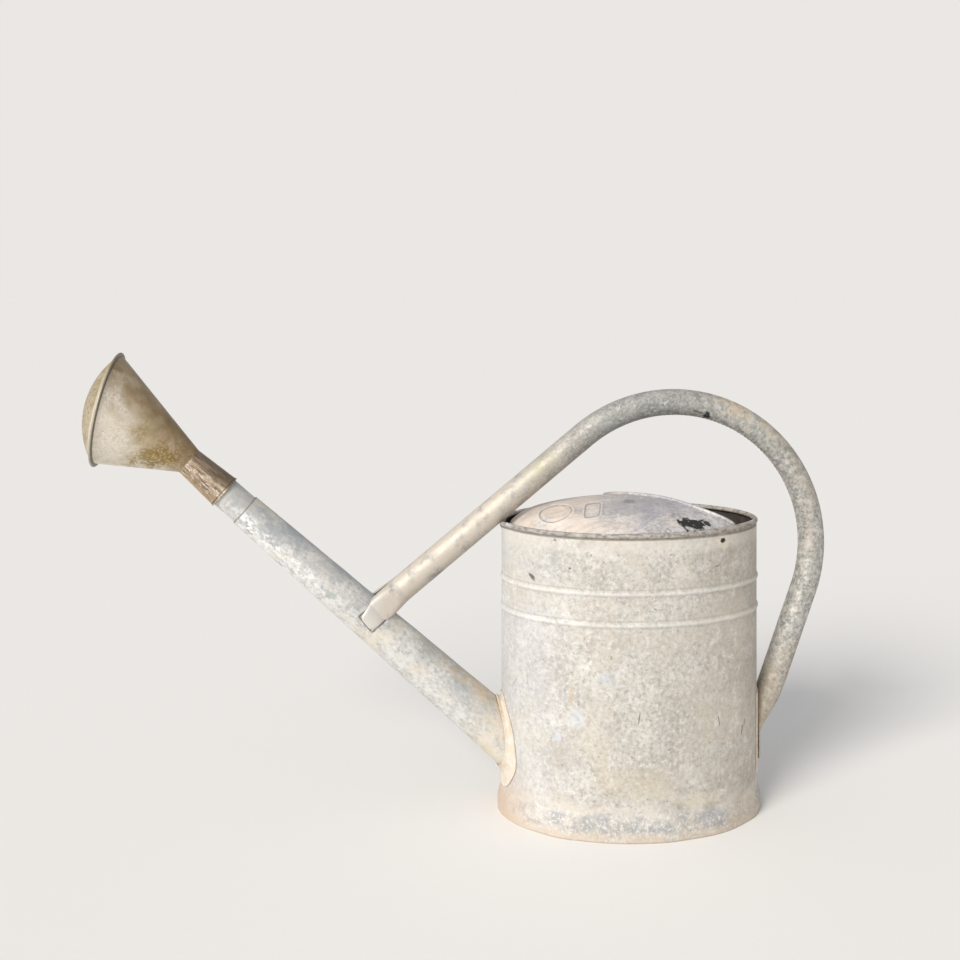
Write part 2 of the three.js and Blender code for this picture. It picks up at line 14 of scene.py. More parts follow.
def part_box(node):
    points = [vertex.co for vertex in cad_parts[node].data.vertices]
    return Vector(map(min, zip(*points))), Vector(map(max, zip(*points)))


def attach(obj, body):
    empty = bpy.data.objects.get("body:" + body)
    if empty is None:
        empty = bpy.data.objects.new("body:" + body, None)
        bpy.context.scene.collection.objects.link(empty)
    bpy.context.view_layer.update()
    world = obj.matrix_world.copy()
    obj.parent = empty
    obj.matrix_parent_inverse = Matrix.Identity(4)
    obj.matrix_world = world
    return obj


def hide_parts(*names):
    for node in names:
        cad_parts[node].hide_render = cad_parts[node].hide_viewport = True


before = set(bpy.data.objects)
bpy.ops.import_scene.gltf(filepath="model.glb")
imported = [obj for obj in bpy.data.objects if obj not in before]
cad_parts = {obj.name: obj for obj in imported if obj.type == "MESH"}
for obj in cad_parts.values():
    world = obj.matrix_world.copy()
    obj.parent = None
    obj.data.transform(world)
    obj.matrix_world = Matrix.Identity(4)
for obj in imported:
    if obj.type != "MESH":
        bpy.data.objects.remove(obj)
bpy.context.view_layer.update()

# Sizes of the part, in millimetres and degrees
SHEET, BRASS, GAP = 1.0, 0.8, 0.3
HALF_LENGTH, HALF_WIDTH, RIM_HEIGHT = 138, 90.5, 306
RIM_INSET, CURL_RADIUS, CURL_START, CURL_END = 1.5, 2.2, -62.96, 235
SWAGES, SWAGE_RISE, SWAGE_HALF = (216.5, 248), 1.5, 3.8
FOOT_HEIGHT, FOOT_FLARE = 27, 4.0
RAMP_START = 262
HOOD_BASE, HOOD_RISE, HOOD_ROUND, HOOD_FLANGE = 302, 27.5, 0.6, 7
HOOD_CURL, HOOD_WIRE = 1.4, 0.6
HOOD_EDGE = np.array([(99.5, -52), (70, -38), (39, -9), (5, 20), (-17, 48), (-5, 68), (34, 80)], float)
HOOD_DENT = dict(x=10, y=66, depth=3.5, spread=24)
FRONT_DROP, FRONT_DROP_RUN = 5.5, 110
RING_CENTRE, RING_HALF, RING_INNER = (-84.5, -29), (18.5, 22), (12, 14.5)
BOX_CENTRE, BOX_HALF, BOX_LEAN = (-47, -38.5), (9.5, 19.5), 0.24
SPOUT_SLOPE, SPOUT_ROOT_Z, SPOUT_LENGTH = math.radians(41.9), 79.5, 364.8
SPOUT_WIDE, SPOUT_NARROW, HOLE_INSET = 26.2, 17.4, 2.0
SPOUT_DENT = dict(centre=(-352, -20, 268), depth=1.6, spread=16)
FLANGE_MARGIN, FLANGE_DROP, FLANGE_RISE = 10, 2.2, 7
FERRULE_SUNK, FERRULE_SHOWN = 22, 27.6
COLLAR_LENGTH, COLLAR_MOUTH, COLLAR_NECK, COLLAR_OVERLAP = 49, 17.8, 14.7, 30
ROSE_CENTRE, ROSE_TILT = np.array((-551.4, 0, 429.7)), math.radians(12.2)
ROSE_CONE, ROSE_RIM, ROSE_SET_BACK, ROSE_DOME = 56.4, 60.4, 3.5, 21.5
ROSE_FLANGE = -1.4
HOLE_RADIUS, HOLE_RINGS, HOLE_PITCH = 1.3, 4, 11.5
HANDLE_RADIUS, BEND_X, BEND_Z, BEND_RADIUS = 14, 48, 278, 154
FRONT_SLOPE, BACK_LEAN = math.radians(39.4), math.radians(19.6)
FORK_HALF, FORK_TONGUE, FORK_DROP, FORK_TOP, FORK_CORNER = 10.5, 1.1, 3, 46, 4.5
FORK_SQUARE_SPAN, FORK_NARROW_TOP, FORK_NARROW_SPAN, FORK_HOLLOW, FORK_WRAP = 34, 16, 18, 12, 0.6
SLOT_HALF, SLOT_TIP, SLOT_TOP = 7, 0.8, 50
WRINKLE_DEPTH, WRINKLE_PITCH, WRINKLE_TURN, WRINKLE_SPREAD = 0.75, 5.2, 42, 36
STRAP_ENDING = 9
STRAP_TOP, STRAP_FOOT, STRAP_HALF_WIDTH, STRAP_SLOT, FLATTEN_START = 79, 48, 21, 0.6, 134
PATCH_HALF, PATCH_TOP, PATCH_FOOT = 29, 124, 40
TAU = math.tau

low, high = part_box("body_wall")
SHIFT = np.array(((low[0] + high[0]) * 500, 0, 0))


def metres(points):
    """Can millimetres as metres in the part's frame."""
    return (np.asarray(points, float) + SHIFT) / 1000


def hill(distance, spread):
    return np.exp(-((distance / spread) ** 2))


def unit(vectors):
    return vectors / np.linalg.norm(vectors, axis=-1, keepdims=True)


def lerp(a, b, share):
    return a + (b - a) * share


def smooth_path(points, steps):
    """A Catmull-Rom line through the points, with steps to each span."""
    points = np.asarray(points, float)
    ends = [2 * points[0] - points[1], *points, 2 * points[-1] - points[-2]]
    line = []
    for a, b, c, d in zip(ends, ends[1:], ends[2:], ends[3:]):
        for t in np.arange(steps) / steps:
            cubic = (3 * b - a - 3 * c + d) * t ** 3
            line.append(0.5 * (2 * b + (c - a) * t + (2 * a - 5 * b + 4 * c - d) * t * t + cubic))
    return np.array([*line, points[-1]])


def wobble(points, pitch, seed=0.0):
    """Smooth noise from -1 to 1 at each point, with features of about pitch millimetres."""
    flat = np.asarray(points, float).reshape(-1, 3) / pitch + seed
    return np.array([noise.noise(Vector(p)) for p in flat]).reshape(np.shape(points)[:-1])


# Meshes


def make_object(name, points, faces):
    """A closed mesh object in the part's frame, its faces turned outwards."""
    mesh = bpy.data.meshes.new(name)
    mesh.from_pydata(metres(points).tolist(), [], faces)
    shape = bmesh.new()
    shape.from_mesh(mesh)
    if shape.calc_volume(signed=True) < 0:
        bmesh.ops.reverse_faces(shape, faces=shape.faces)
    shape.to_mesh(mesh)
    shape.free()
    obj = bpy.data.objects.new(name, mesh)
    bpy.context.scene.collection.objects.link(obj)
    return obj


def grid_faces(rows, columns, offset, wrap, flip=False):
    faces = []
    for i in range(rows if wrap else rows - 1):
        a, b = offset + i * columns, offset + (i + 1) % rows * columns
        for k in range(columns - 1):
            quad = (a + k, a + k + 1, b + k + 1, b + k)
            faces.append(quad[::-1] if flip else quad)
    return faces


def sheet(name, middle, thickness, wrap):
    """A closed sheet of the given thickness about a grid of middle points."""
    rows, columns = middle.shape[:2]
    along = np.roll(middle, -1, 0) - np.roll(middle, 1, 0) if wrap else np.gradient(middle, axis=0)
    normal = unit(np.cross(along, np.gradient(middle, axis=1)))
    half = normal * thickness / 2
    points = np.concatenate([(middle + half).reshape(-1, 3), (middle - half).reshape(-1, 3)])
    inner = rows * columns
    faces = grid_faces(rows, columns, 0, wrap) + grid_faces(rows, columns, inner, wrap, flip=True)
    for i in range(rows if wrap else rows - 1):
        a, b = i * columns, (i + 1) % rows * columns
        last = columns - 1
        faces.append((a, b, inner + b, inner + a))
        faces.append((b + last, a + last, inner + a + last, inner + b + last))
    if not wrap:
        end = (rows - 1) * columns
        for k in range(columns - 1):
            faces.append((k + 1, k, inner + k, inner + k + 1))
            faces.append((end + k, end + k + 1, inner + end + k + 1, inner + end + k))
    return make_object(name, points, faces)


def loft(name, rings):
    """A solid through closed rings of points, flat at both ends."""
    rings = np.asarray(rings, float)
    count, sides = rings.shape[:2]
    points = rings.reshape(-1, 3)
    faces = []
    for i in range(count - 1):
        for j in range(sides):
            k = (j + 1) % sides
            faces.append((i * sides + j, (i + 1) * sides + j, (i + 1) * sides + k, i * sides + k))
    points = np.concatenate([points, [rings[0].mean(0), rings[-1].mean(0)]])
    end = (count - 1) * sides
    for j in range(sides):
        k = (j + 1) % sides
        faces.append((count * sides, j, k))
        faces.append((count * sides + 1, end + k, end + j))
    return make_object(name, points, faces)


def cut_away(obj, *tools):
    """Takes the tools' solids out of obj, and removes the tools."""
    for tool in tools:
        cut = obj.modifiers.new("cut", "BOOLEAN")
        cut.operation = "DIFFERENCE"
        cut.solver = "MANIFOLD"
        cut.object = tool
    result = bpy.data.meshes.new_from_object(obj.evaluated_get(bpy.context.evaluated_depsgraph_get()))
    obj.modifiers.clear()
    obj.data = result
    for tool in tools:
        bpy.data.objects.remove(tool, do_unlink=True)
    return obj


def finish_piece(obj, material, node, body="can"):
    """Smooth faces, sharp corners, its finish, and the CAD node and body that it goes with."""
    obj.data.shade_smooth()
    obj.data.set_sharp_from_angle(angle=math.radians(40))
    obj.data.materials.clear()
    obj.data.materials.append(material)
    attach(obj, body)
    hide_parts(node)


# The oval wall


def oval(out, angle, z):
    x, y = (HALF_LENGTH + out) * np.cos(angle), (HALF_WIDTH + out) * np.sin(angle)
    return np.stack(np.broadcast_arrays(x, y, z), -1)


def rim_wear(angle):
    """How far the rim stands up, and how far it is pulled out, at an angle round the can."""
    side = HALF_WIDTH * np.sin(angle)
    front = np.cos(angle) < 0
    turned = np.angle(np.exp(1j * (angle + math.radians(38))))
    up = 2.0 * hill(turned, math.radians(24)) - front * 3.8 * hill(side, 9)
    return up, front * 3.5 * hill(side + 13, 9)


def worn(out, angle, z):
    curl_foot = RIM_HEIGHT - CURL_RADIUS - SHEET
    share = np.clip((z - RAMP_START) / (curl_foot - RAMP_START), 0, 1) ** 2
    up, pulled = rim_wear(angle)
    return oval(out + pulled * share ** 3, angle, z + up * share)


def wall_path():
    """The wall's middle line as (out, height): foot, beads, and the roll round the rim wire."""
    middle = -SHEET / 2
    foot = [(1, 0), (1, 0.3), (0.8, 0.58), (0.25, 0.87), (0, 1), (0, 1.15)]
    path = [smooth_path([(FOOT_FLARE * out + middle, FOOT_HEIGHT * z) for out, z in foot], 6)]
    start = FOOT_HEIGHT * 1.15
    for swage in SWAGES:
        rows = np.arange(start + 5, swage - SWAGE_HALF - 2, 5)
        path.append(np.stack([np.full(len(rows), middle), rows], 1))
        t = np.linspace(-1, 1, 13)
        bead = middle + SWAGE_RISE * np.cos(t * math.pi / 2) ** 2
        path.append(np.stack([bead, swage + t * SWAGE_HALF], 1))
        start = swage + SWAGE_HALF
    rows = np.arange(start + 4, RIM_HEIGHT - 5, 4)
    path.append(np.stack([np.full(len(rows), middle), rows], 1))
    turn = np.radians(np.linspace(CURL_START, CURL_END, 26))
    roll = CURL_RADIUS * np.stack([np.cos(turn), np.sin(turn)], 1)
    path.append(roll + (-RIM_INSET, RIM_HEIGHT))
    return np.concatenate(path)


def wall_dents(angle, z, points):
    """Shallow unevenness on the wall's two broad sides, none where other pieces are fixed."""
    broad = np.sin(angle) ** 4
    clear = np.clip((z - 30) / 30, 0, 1) * np.clip((290 - z) / 30, 0, 1)
    foot = np.clip((24 - z) / 12, 0, 1)
    buckles = np.clip(wobble(points * (1, 1, 0.4), 30, 3.0), -1, 0.4)
    return broad * clear * 0.7 * wobble(points, 55) + foot * 1.3 * buckles


def make_body_wall():
    angle = (np.arange(256) * TAU / 256)[:, None]
    path = wall_path()
    out, z = path[None, :, 0], path[None, :, 1]
    dents = wall_dents(angle, z, oval(0, angle, z))
    wall = sheet("can_wall", worn(out + dents, angle, z), SHEET, wrap=True)
    return cut_away(wall, spout_rod("hole", -SHEET - HOLE_INSET, -60, 40, 64))


# Hood


def hood_rim(out, turn, height):
    return oval(out, turn, height + rim_wear(turn)[0])


HOOD_FLANGE_OUT = -SHEET - GAP * 2 - SHEET / 2
HOOD_OUT = -RIM_INSET - CURL_RADIUS - SHEET - GAP * 2


def hood_height(x, y):
    spread = (x / (HALF_LENGTH + HOOD_OUT)) ** 2 + (y / (HALF_WIDTH + HOOD_OUT)) ** 2
    dent = HOOD_DENT["depth"] * hill(np.hypot(x - HOOD_DENT["x"], y - HOOD_DENT["y"]), HOOD_DENT["spread"])
    dome = HOOD_BASE + np.maximum(0, HOOD_RISE * np.clip(1 - spread, 0, 1) ** HOOD_ROUND - dent)
    front = np.clip(-x / FRONT_DROP_RUN, 0, 1)
    return dome - front * FRONT_DROP * np.clip((spread - 0.62) / 0.38, 0, 1) ** 2


def hood_relief(x, y):
    """Raised lines pressed into the hood: an oval ring, and a leaning plain cartouche beside it."""
    dx, dy = x - RING_CENTRE[0], y - RING_CENTRE[1]
    ring = (np.hypot(dx / RING_HALF[0], dy / RING_HALF[1]) - 1) * 20
    inner = (np.hypot(dx / RING_INNER[0], dy / RING_INNER[1]) - 1) * 13
    dx, dy = x - BOX_CENTRE[0], y - BOX_CENTRE[1]
    box = ((np.abs(dx - dy * BOX_LEAN) / BOX_HALF[0]) ** 5 + (np.abs(dy) / BOX_HALF[1]) ** 5) ** 0.2
    frame_line = (box - 1) * 11
    return 1.7 * hill(ring, 1.4) + 0.9 * hill(inner, 1.2) + 1.5 * hill(frame_line, 1.3)


def hood_edge(share):
    """The free edge as seen from above: a centripetal Catmull-Rom curve, as in the part."""
    ends = [2 * HOOD_EDGE[0] - HOOD_EDGE[1], *HOOD_EDGE, 2 * HOOD_EDGE[-1] - HOOD_EDGE[-2]]
    spot = np.clip(share, 0, 1) * (len(HOOD_EDGE) - 1)
    span = min(int(spot), len(HOOD_EDGE) - 2)
    t = spot - span
    p0, p1, p2, p3 = ends[span:span + 4]
    d0, d1, d2 = (np.sum((b - a) ** 2) ** 0.25 for a, b in ((p0, p1), (p1, p2), (p2, p3)))
    start = ((p1 - p0) / d0 - (p2 - p0) / (d0 + d1) + (p2 - p1) / d1) * d1
    end = ((p2 - p1) / d1 - (p3 - p1) / (d1 + d2) + (p3 - p2) / d2) * d1
    square = (3 * (p2 - p1) - 2 * start - end) * t ** 2
    point = p1 + start * t + square + (2 * (p1 - p2) + start + end) * t ** 3
    return np.array((*point, hood_height(*point)))


def hood_edge_frame(share):
    tangent = unit(hood_edge(min(1, share + 0.01)) - hood_edge(max(0, share - 0.01)))
    away = -unit(np.array((-tangent[1], tangent[0], 0)))
    up = unit(np.cross(tangent, away))
    return away, up if up[2] > 0 else -up


def make_hood():
    start, end = (math.atan2(y / HALF_WIDTH, x / HALF_LENGTH) for x, y in HOOD_EDGE[[0, -1]])
    ribs = np.linspace(0.015, 1, 96)
    grid = []
    for share in np.linspace(0, 1, 221):
        turn = lerp(start + TAU, end, share)
        base = HOOD_BASE - FRONT_DROP * max(0, min(1, -HALF_LENGTH * math.cos(turn) / FRONT_DROP_RUN))
        flange = [hood_rim(HOOD_FLANGE_OUT, turn, base - drop) for drop in (HOOD_FLANGE, 5, 3, 1)]
        rim = hood_rim(HOOD_OUT, turn, HOOD_BASE)
        rim[2] += hood_height(rim[0], rim[1]) - HOOD_BASE
        edge = hood_edge(share)
        x, y = lerp(rim[0], edge[0], ribs), lerp(rim[1], edge[1], ribs)
        pressed = rim_wear(turn)[0] * np.clip(1 - ribs * 4, 0, 1)
        dome = np.stack([x, y, hood_height(x, y) + hood_relief(x, y) + pressed], 1)
        away, up = hood_edge_frame(share)
        angle = np.radians(np.linspace(-62, 215, 20))[:, None]
        curl = edge + up * HOOD_CURL + HOOD_CURL * (away * np.cos(angle) + up * np.sin(angle))
        grid.append(np.concatenate([flange, [rim], dome, curl]))
    return sheet("half_hood", np.array(grid), SHEET, wrap=False)


# Spout, flange and ferrule

SPOUT_ROOT = np.array((-HALF_LENGTH, 0, SPOUT_ROOT_Z))
SPOUT_ALONG = np.array((-math.cos(SPOUT_SLOPE), 0, math.sin(SPOUT_SLOPE)))
SPOUT_UPPER = np.array((math.sin(SPOUT_SLOPE), 0, math.cos(SPOUT_SLOPE)))
ACROSS = np.array((0, -1, 0))


def spout_radius(run):
    return lerp(SPOUT_WIDE, SPOUT_NARROW, run / SPOUT_LENGTH)


def on_spout(run, radius, turn):
    run, radius, turn = (np.asarray(v, float)[..., None] for v in (run, radius, turn))
    return SPOUT_ROOT + SPOUT_ALONG * run + radius * (SPOUT_UPPER * np.cos(turn) + ACROSS * np.sin(turn))


def turns(count):
    return np.arange(count) * TAU / count


def spout_rod(name, grow, start, end, sides):
    return loft(name, [on_spout(run, spout_radius(run) + grow, turns(sides)) for run in (start, end)])


def hit_wall(start, end, grow):
    """Where the lines from start to end meet the oval wall, grown by the given amount."""
    axes = np.array((HALF_LENGTH + grow, HALF_WIDTH + grow))
    step = end - start
    a, b = start[..., :2] / axes, step[..., :2] / axes
    p, q, r = (b * b).sum(-1), (a * b).sum(-1), (a * a).sum(-1) - 1
    share = (-q + np.sqrt(q * q - p * r)) / p
    return start + step * share[..., None]


def make_hood_wire():
    rings = []
    angle = turns(10)[:, None]
    for share in np.linspace(0, 1, 120):
        away, up = hood_edge_frame(share)
        ring = HOOD_WIRE * (away * np.cos(angle) + up * np.sin(angle))
        rings.append(hood_edge(share) + up * HOOD_CURL + ring)
    return loft("hood_edge_wire_fine", rings)


def make_spout_tube():
    turn = turns(96)
    middle = -SHEET / 2
    start = on_spout(-40, spout_radius(-40) + middle, turn)
    end = on_spout(SPOUT_LENGTH, SPOUT_NARROW + middle, turn)
    foot = hit_wall(start, end, GAP + SHEET * 0.6)
    shares = np.linspace(0, 1, 90)[None, :, None]
    grid = foot[:, None] + (end - foot)[:, None] * shares
    bumps = wobble(grid, 34, 7.0) * 0.35 * (4 * shares[..., 0] * (1 - shares[..., 0])) ** 0.5
    radial = unit(SPOUT_UPPER * np.cos(turn)[:, None] + ACROSS * np.sin(turn)[:, None])[:, None]
    away = np.linalg.norm(grid - SPOUT_DENT["centre"], axis=-1)
    dent = -SPOUT_DENT["depth"] * hill(away, SPOUT_DENT["spread"])
    return sheet("spout", grid + radial * (bumps + dent)[..., None], SHEET, wrap=True)


def make_spout_flange():
    turn = turns(128)
    stand = GAP * 1.5 + SHEET / 2

    def line(grow):
        return [on_spout(run, spout_radius(run) + grow, turn) for run in (-40, 200)]

    margin = FLANGE_MARGIN - FLANGE_DROP * np.cos(turn)
    uneven = 0.9 * np.sin(turn * 5 + 1) * np.sin(turn * 3)
    corner = hit_wall(*line(stand + 0.2), stand)
    lip = corner + SPOUT_ALONG * FLANGE_RISE
    columns = [hit_wall(*line(lerp(margin + uneven, stand + 2.5, t)), stand) for t in np.linspace(0, 1, 8)]
    begin = columns[-1]
    for t in np.linspace(0, 1, 9)[1:]:
        columns.append(lerp(lerp(begin, corner, t), lerp(corner, lip, t), t))
    return sheet("spout_joint", np.stack(columns, 1), SHEET, wrap=True)


def axial_tube(name, stations, thickness, sides=96):
    turn = turns(sides)
    grid = np.stack([on_spout(run, radius - thickness / 2, turn) for run, radius in stations], 1)
    return sheet(name, grid, thickness, wrap=True)


FERRULE_RADIUS = SPOUT_NARROW - SHEET - GAP
COLLAR_START = SPOUT_LENGTH + FERRULE_SHOWN
COLLAR_TAPER = (COLLAR_MOUTH - COLLAR_NECK) / COLLAR_LENGTH


def make_ferrule():
    bend = (COLLAR_MOUTH - BRASS - GAP - FERRULE_RADIUS) / COLLAR_TAPER
    end = FERRULE_RADIUS - (COLLAR_OVERLAP - bend) * COLLAR_TAPER
    straight = SPOUT_LENGTH - FERRULE_SUNK, SPOUT_LENGTH + 2, COLLAR_START - 6, COLLAR_START + bend
    stations = [(run, FERRULE_RADIUS) for run in straight]
    return axial_tube("tip_sleeve", [*stations, (COLLAR_START + COLLAR_OVERLAP, end)], SHEET)


# Rose

ROSE_AXIS = np.array((-math.cos(ROSE_TILT), 0, math.sin(ROSE_TILT)))
ROSE_UPPER = np.array((math.sin(ROSE_TILT), 0, math.cos(ROSE_TILT)))


def on_rose(radius, level, turn):
    radius, level, turn = (np.asarray(v, float)[..., None] for v in (radius, level, turn))
    return ROSE_CENTRE + ROSE_AXIS * level + radius * (ROSE_UPPER * np.cos(turn) + ACROSS * np.sin(turn))


def make_rose_collar():
    lip = [(0, COLLAR_MOUTH + 0.7), (0.9, COLLAR_MOUTH + 0.6), (1.9, COLLAR_MOUTH)]
    cone = [(COLLAR_LENGTH * t, lerp(COLLAR_MOUTH, COLLAR_NECK, t)) for t in np.linspace(0.08, 1, 12)]
    stations = [*lip, *cone, (COLLAR_LENGTH + GAP * 3, COLLAR_NECK)]
    return axial_tube("collar", [(COLLAR_START + run, radius) for run, radius in stations], BRASS)


def make_rose_cone():
    turn = turns(128)
    neck = on_spout(COLLAR_START + COLLAR_LENGTH + GAP + BRASS / 2, COLLAR_NECK - BRASS / 2, turn)
    wide = on_rose(ROSE_CONE - BRASS / 2, -ROSE_SET_BACK, turn)
    columns = [lerp(neck, wide, t) for t in np.linspace(0, 1, 40)]
    reach = ROSE_RIM - BRASS - GAP - 0.4
    brim = (ROSE_CONE, ROSE_FLANGE - 0.9), (ROSE_CONE + 1, ROSE_FLANGE), (reach, ROSE_FLANGE)
    columns += [on_rose(radius, level, turn) for radius, level in brim]
    return sheet("cone", np.stack(columns, 1), BRASS, wrap=True)


def rose_holes():
    centres = [(0, 0)]
    for ring in range(1, HOLE_RINGS + 1):
        centres += [(ring * HOLE_PITCH, k * TAU / (ring * 6)) for k in range(ring * 6)]
    return [rose_hole(reach, turn) for reach, turn in centres]


def rose_hole(reach, turn):
    middle = on_rose(reach, 0, turn)
    ring = HOLE_RADIUS * (ROSE_UPPER * np.cos(turns(12))[:, None] + ACROSS * np.sin(turns(12))[:, None])
    return loft("hole", [middle + ROSE_AXIS * level + ring for level in (2, ROSE_DOME + 6)])


def make_rose_face():
    half = BRASS / 2
    plate = ROSE_CONE - 1
    rise = ROSE_DOME - 1
    sphere = (plate ** 2 + rise ** 2) / (2 * rise)
    radius = plate * np.linspace(0.02, 1, 40)
    dome = np.stack([radius, rise - (sphere - np.sqrt(sphere ** 2 - radius ** 2))], 1)
    lip = ROSE_RIM - half
    fold = [(lip - 3, -0.3), (lip - 0.9, -0.5), (lip, -1.4), (lip - 0.9, -2.3), (lip - 3, -2.3)]
    middle = np.concatenate([dome[:-1], smooth_path([dome[-1], *fold], 5)])
    run = unit(np.gradient(middle, axis=0))
    normal = np.stack([-run[:, 1], run[:, 0]], 1) * half
    outline = np.concatenate([middle + normal, (middle - normal)[::-1]])
    face = loft("face", [on_rose(r, level, turns(128)) for r, level in outline])
    return cut_away(face, *rose_holes())


# Handle

FRONT_ALONG = np.array((math.cos(FRONT_SLOPE), 0, math.sin(FRONT_SLOPE)))
FRONT_UP = np.array((-math.sin(FRONT_SLOPE), 0, math.cos(FRONT_SLOPE)))
BEND_CENTRE = np.array((BEND_X, 0, BEND_Z), float)
FRONT_END = BEND_CENTRE + BEND_RADIUS * FRONT_UP
BACK_OUT = np.array((math.cos(BACK_LEAN), 0, -math.sin(BACK_LEAN)))
BACK_END = BEND_CENTRE + BEND_RADIUS * BACK_OUT
HANDLE_COS, HANDLE_SIN = np.cos(turns(64)), np.sin(turns(64))


def fork_root():
    """Where the handle's middle line meets the spout's axis."""
    away = FRONT_END - SPOUT_ROOT
    turn = FRONT_ALONG[0] * SPOUT_ALONG[2] - FRONT_ALONG[2] * SPOUT_ALONG[0]
    return FRONT_END - FRONT_ALONG * (away[0] * SPOUT_ALONG[2] - away[2] * SPOUT_ALONG[0]) / turn


FORK_ROOT = fork_root()
FORK_RUN = float((FORK_ROOT - SPOUT_ROOT) @ SPOUT_ALONG)
FORK_REACH = spout_radius(FORK_RUN) + GAP + FORK_TONGUE


def fork_section(height, grow):
    """Half sizes round the tube over the spout: a rounded box at the fork, a circle above it."""
    opened = np.clip((FORK_TOP - height) / FORK_SQUARE_SPAN, 0, 1)
    eased = opened * opened * (3 - 2 * opened)
    wrap = FORK_REACH * FORK_WRAP
    wide = math.sqrt(FORK_REACH ** 2 - min(height, wrap) ** 2)
    if height >= wrap:
        wide = lerp(HANDLE_RADIUS, wide, np.clip((FORK_TOP - height) / (FORK_TOP - wrap), 0, 1) ** 1.6)
    narrow = lerp(HANDLE_RADIUS, FORK_HALF, np.clip((FORK_NARROW_TOP - height) / FORK_NARROW_SPAN, 0, 1))
    rounding = np.clip((FORK_CORNER - FORK_DROP - height) / FORK_CORNER, 0, 1)
    narrow -= FORK_CORNER * (1 - math.sqrt(1 - rounding ** 2))
    power = 2 / lerp(2, 8, eased)
    boxy = [np.sign(v) * np.abs(v) ** power for v in (HANDLE_COS, HANDLE_SIN)]
    return boxy[0] * (narrow + grow), boxy[1] * (wide + grow)


def place(centre, outward, out, side):
    ring = centre + np.asarray(out)[:, None] * outward
    ring[:, 1] = side
    return ring


def tube_ring(centre, outward, radius):
    return place(centre, outward, HANDLE_COS * radius, HANDLE_SIN * radius)


def on_back(side, out, z):
    turn = np.arcsin(np.clip(side / (HALF_WIDTH + out), -1, 1))
    return np.stack(np.broadcast_arrays((HALF_LENGTH + out) * np.cos(turn), side, z), -1)


def back_ring(height, grow):
    """The tube flattens into a strap that follows the back of the body."""
    pressed = np.clip((FLATTEN_START - height) / (FLATTEN_START - STRAP_TOP), 0, 1) ** 3
    back = BACK_END[0] - (BACK_END[2] - max(height, STRAP_TOP)) * math.tan(BACK_LEAN)
    ending = np.clip((STRAP_FOOT + STRAP_ENDING - height) / STRAP_ENDING, 0, 1)
    half = (STRAP_HALF_WIDTH + grow) * math.sqrt(1 - 0.6 * ending ** 2)
    round_ring = tube_ring(np.array((back, 0, height)), BACK_OUT, HANDLE_RADIUS + grow)
    near = SHEET + GAP * 2
    strap_half = SHEET + STRAP_SLOT / 2
    out = near + strap_half + np.sign(HANDLE_COS) * np.abs(HANDLE_COS) ** 0.35 * (strap_half + grow)
    ring = lerp(round_ring, on_back(half * HANDLE_SIN, out, height), pressed)
    least = on_back(ring[:, 1], near - grow, ring[:, 2])
    return np.where((ring[:, 0] < least[:, 0])[:, None], least, ring)


def wrinkles(turn, length, out_share):
    """Small ripples where the tube was bent, on the side towards the hoop's middle."""
    strength = hill(math.degrees(turn) - WRINKLE_TURN, WRINKLE_SPREAD)
    inner = np.clip(-out_share - 0.15, 0, 1)
    return -WRINKLE_DEPTH * strength * inner * (0.5 + 0.5 * math.cos(length / WRINKLE_PITCH * TAU))


def fork_heights(start):
    end = FORK_CORNER - FORK_DROP
    if start >= end:
        return np.linspace(start, FORK_TOP, 40)
    corner = end - FORK_CORNER * np.sin(np.linspace(math.pi / 2, 0, 10))
    return np.concatenate([corner, np.linspace(end + 1, FORK_TOP, 40)])


def handle_rings(grow, start):
    rings = []
    for h in fork_heights(start):
        rings.append(place(FORK_ROOT + FRONT_ALONG * h, FRONT_UP, *fork_section(h, grow)))
    radius = HANDLE_RADIUS + grow
    run = np.linalg.norm(FRONT_END - FORK_ROOT)
    for h in np.linspace(FORK_TOP, run, 30)[1:-1]:
        rings.append(tube_ring(FORK_ROOT + FRONT_ALONG * h, FRONT_UP, radius))
    for turn in np.linspace(math.pi / 2 + FRONT_SLOPE, -BACK_LEAN, 300):
        out = np.array((math.cos(turn), 0, math.sin(turn)))
        size = radius + (0 if grow else wrinkles(turn, turn * BEND_RADIUS, HANDLE_COS))
        rings.append(tube_ring(BEND_CENTRE + out * BEND_RADIUS, out, size))
    heights = [*np.linspace(220, FLATTEN_START, 16), *np.linspace(FLATTEN_START, STRAP_TOP, 26)[1:]]
    foot = STRAP_FOOT - 3 if grow else STRAP_FOOT
    return rings + [back_ring(height, grow) for height in (*heights, 72, 66, 61, 57, 54, 51, foot)]


def fork_slot():
    """The wedge that parts the handle's flattened end into its two tongues."""
    foot, top = (FORK_ROOT + FRONT_ALONG * height for height in (FORK_HOLLOW, SLOT_TOP))
    corners = ((foot, SLOT_HALF), (foot, -SLOT_HALF), (top, -SLOT_TIP), (top, SLOT_TIP))
    ring = np.array([point + ACROSS * side for point, side in corners])
    reach = FRONT_UP * HANDLE_RADIUS * 2
    return loft("slot", [ring - reach, ring + reach])


def make_handle():
    tube = loft("handle", handle_rings(0, -FORK_DROP))
    hollow = loft("hollow", handle_rings(-SHEET, FORK_HOLLOW))
    spout = spout_rod("spout_rod", GAP, FORK_RUN - 60, FORK_RUN + 60, 96)
    return cut_away(tube, hollow, spout, fork_slot())


def make_handle_patch():
    sides = np.linspace(-PATCH_HALF, PATCH_HALF, 41)
    heights = np.linspace(PATCH_FOOT, PATCH_TOP, 25)
    grid = on_back(sides[:, None], GAP + SHEET / 2, heights[None, :])
    return sheet("back_plate", grid, SHEET, wrap=False)


# Materials


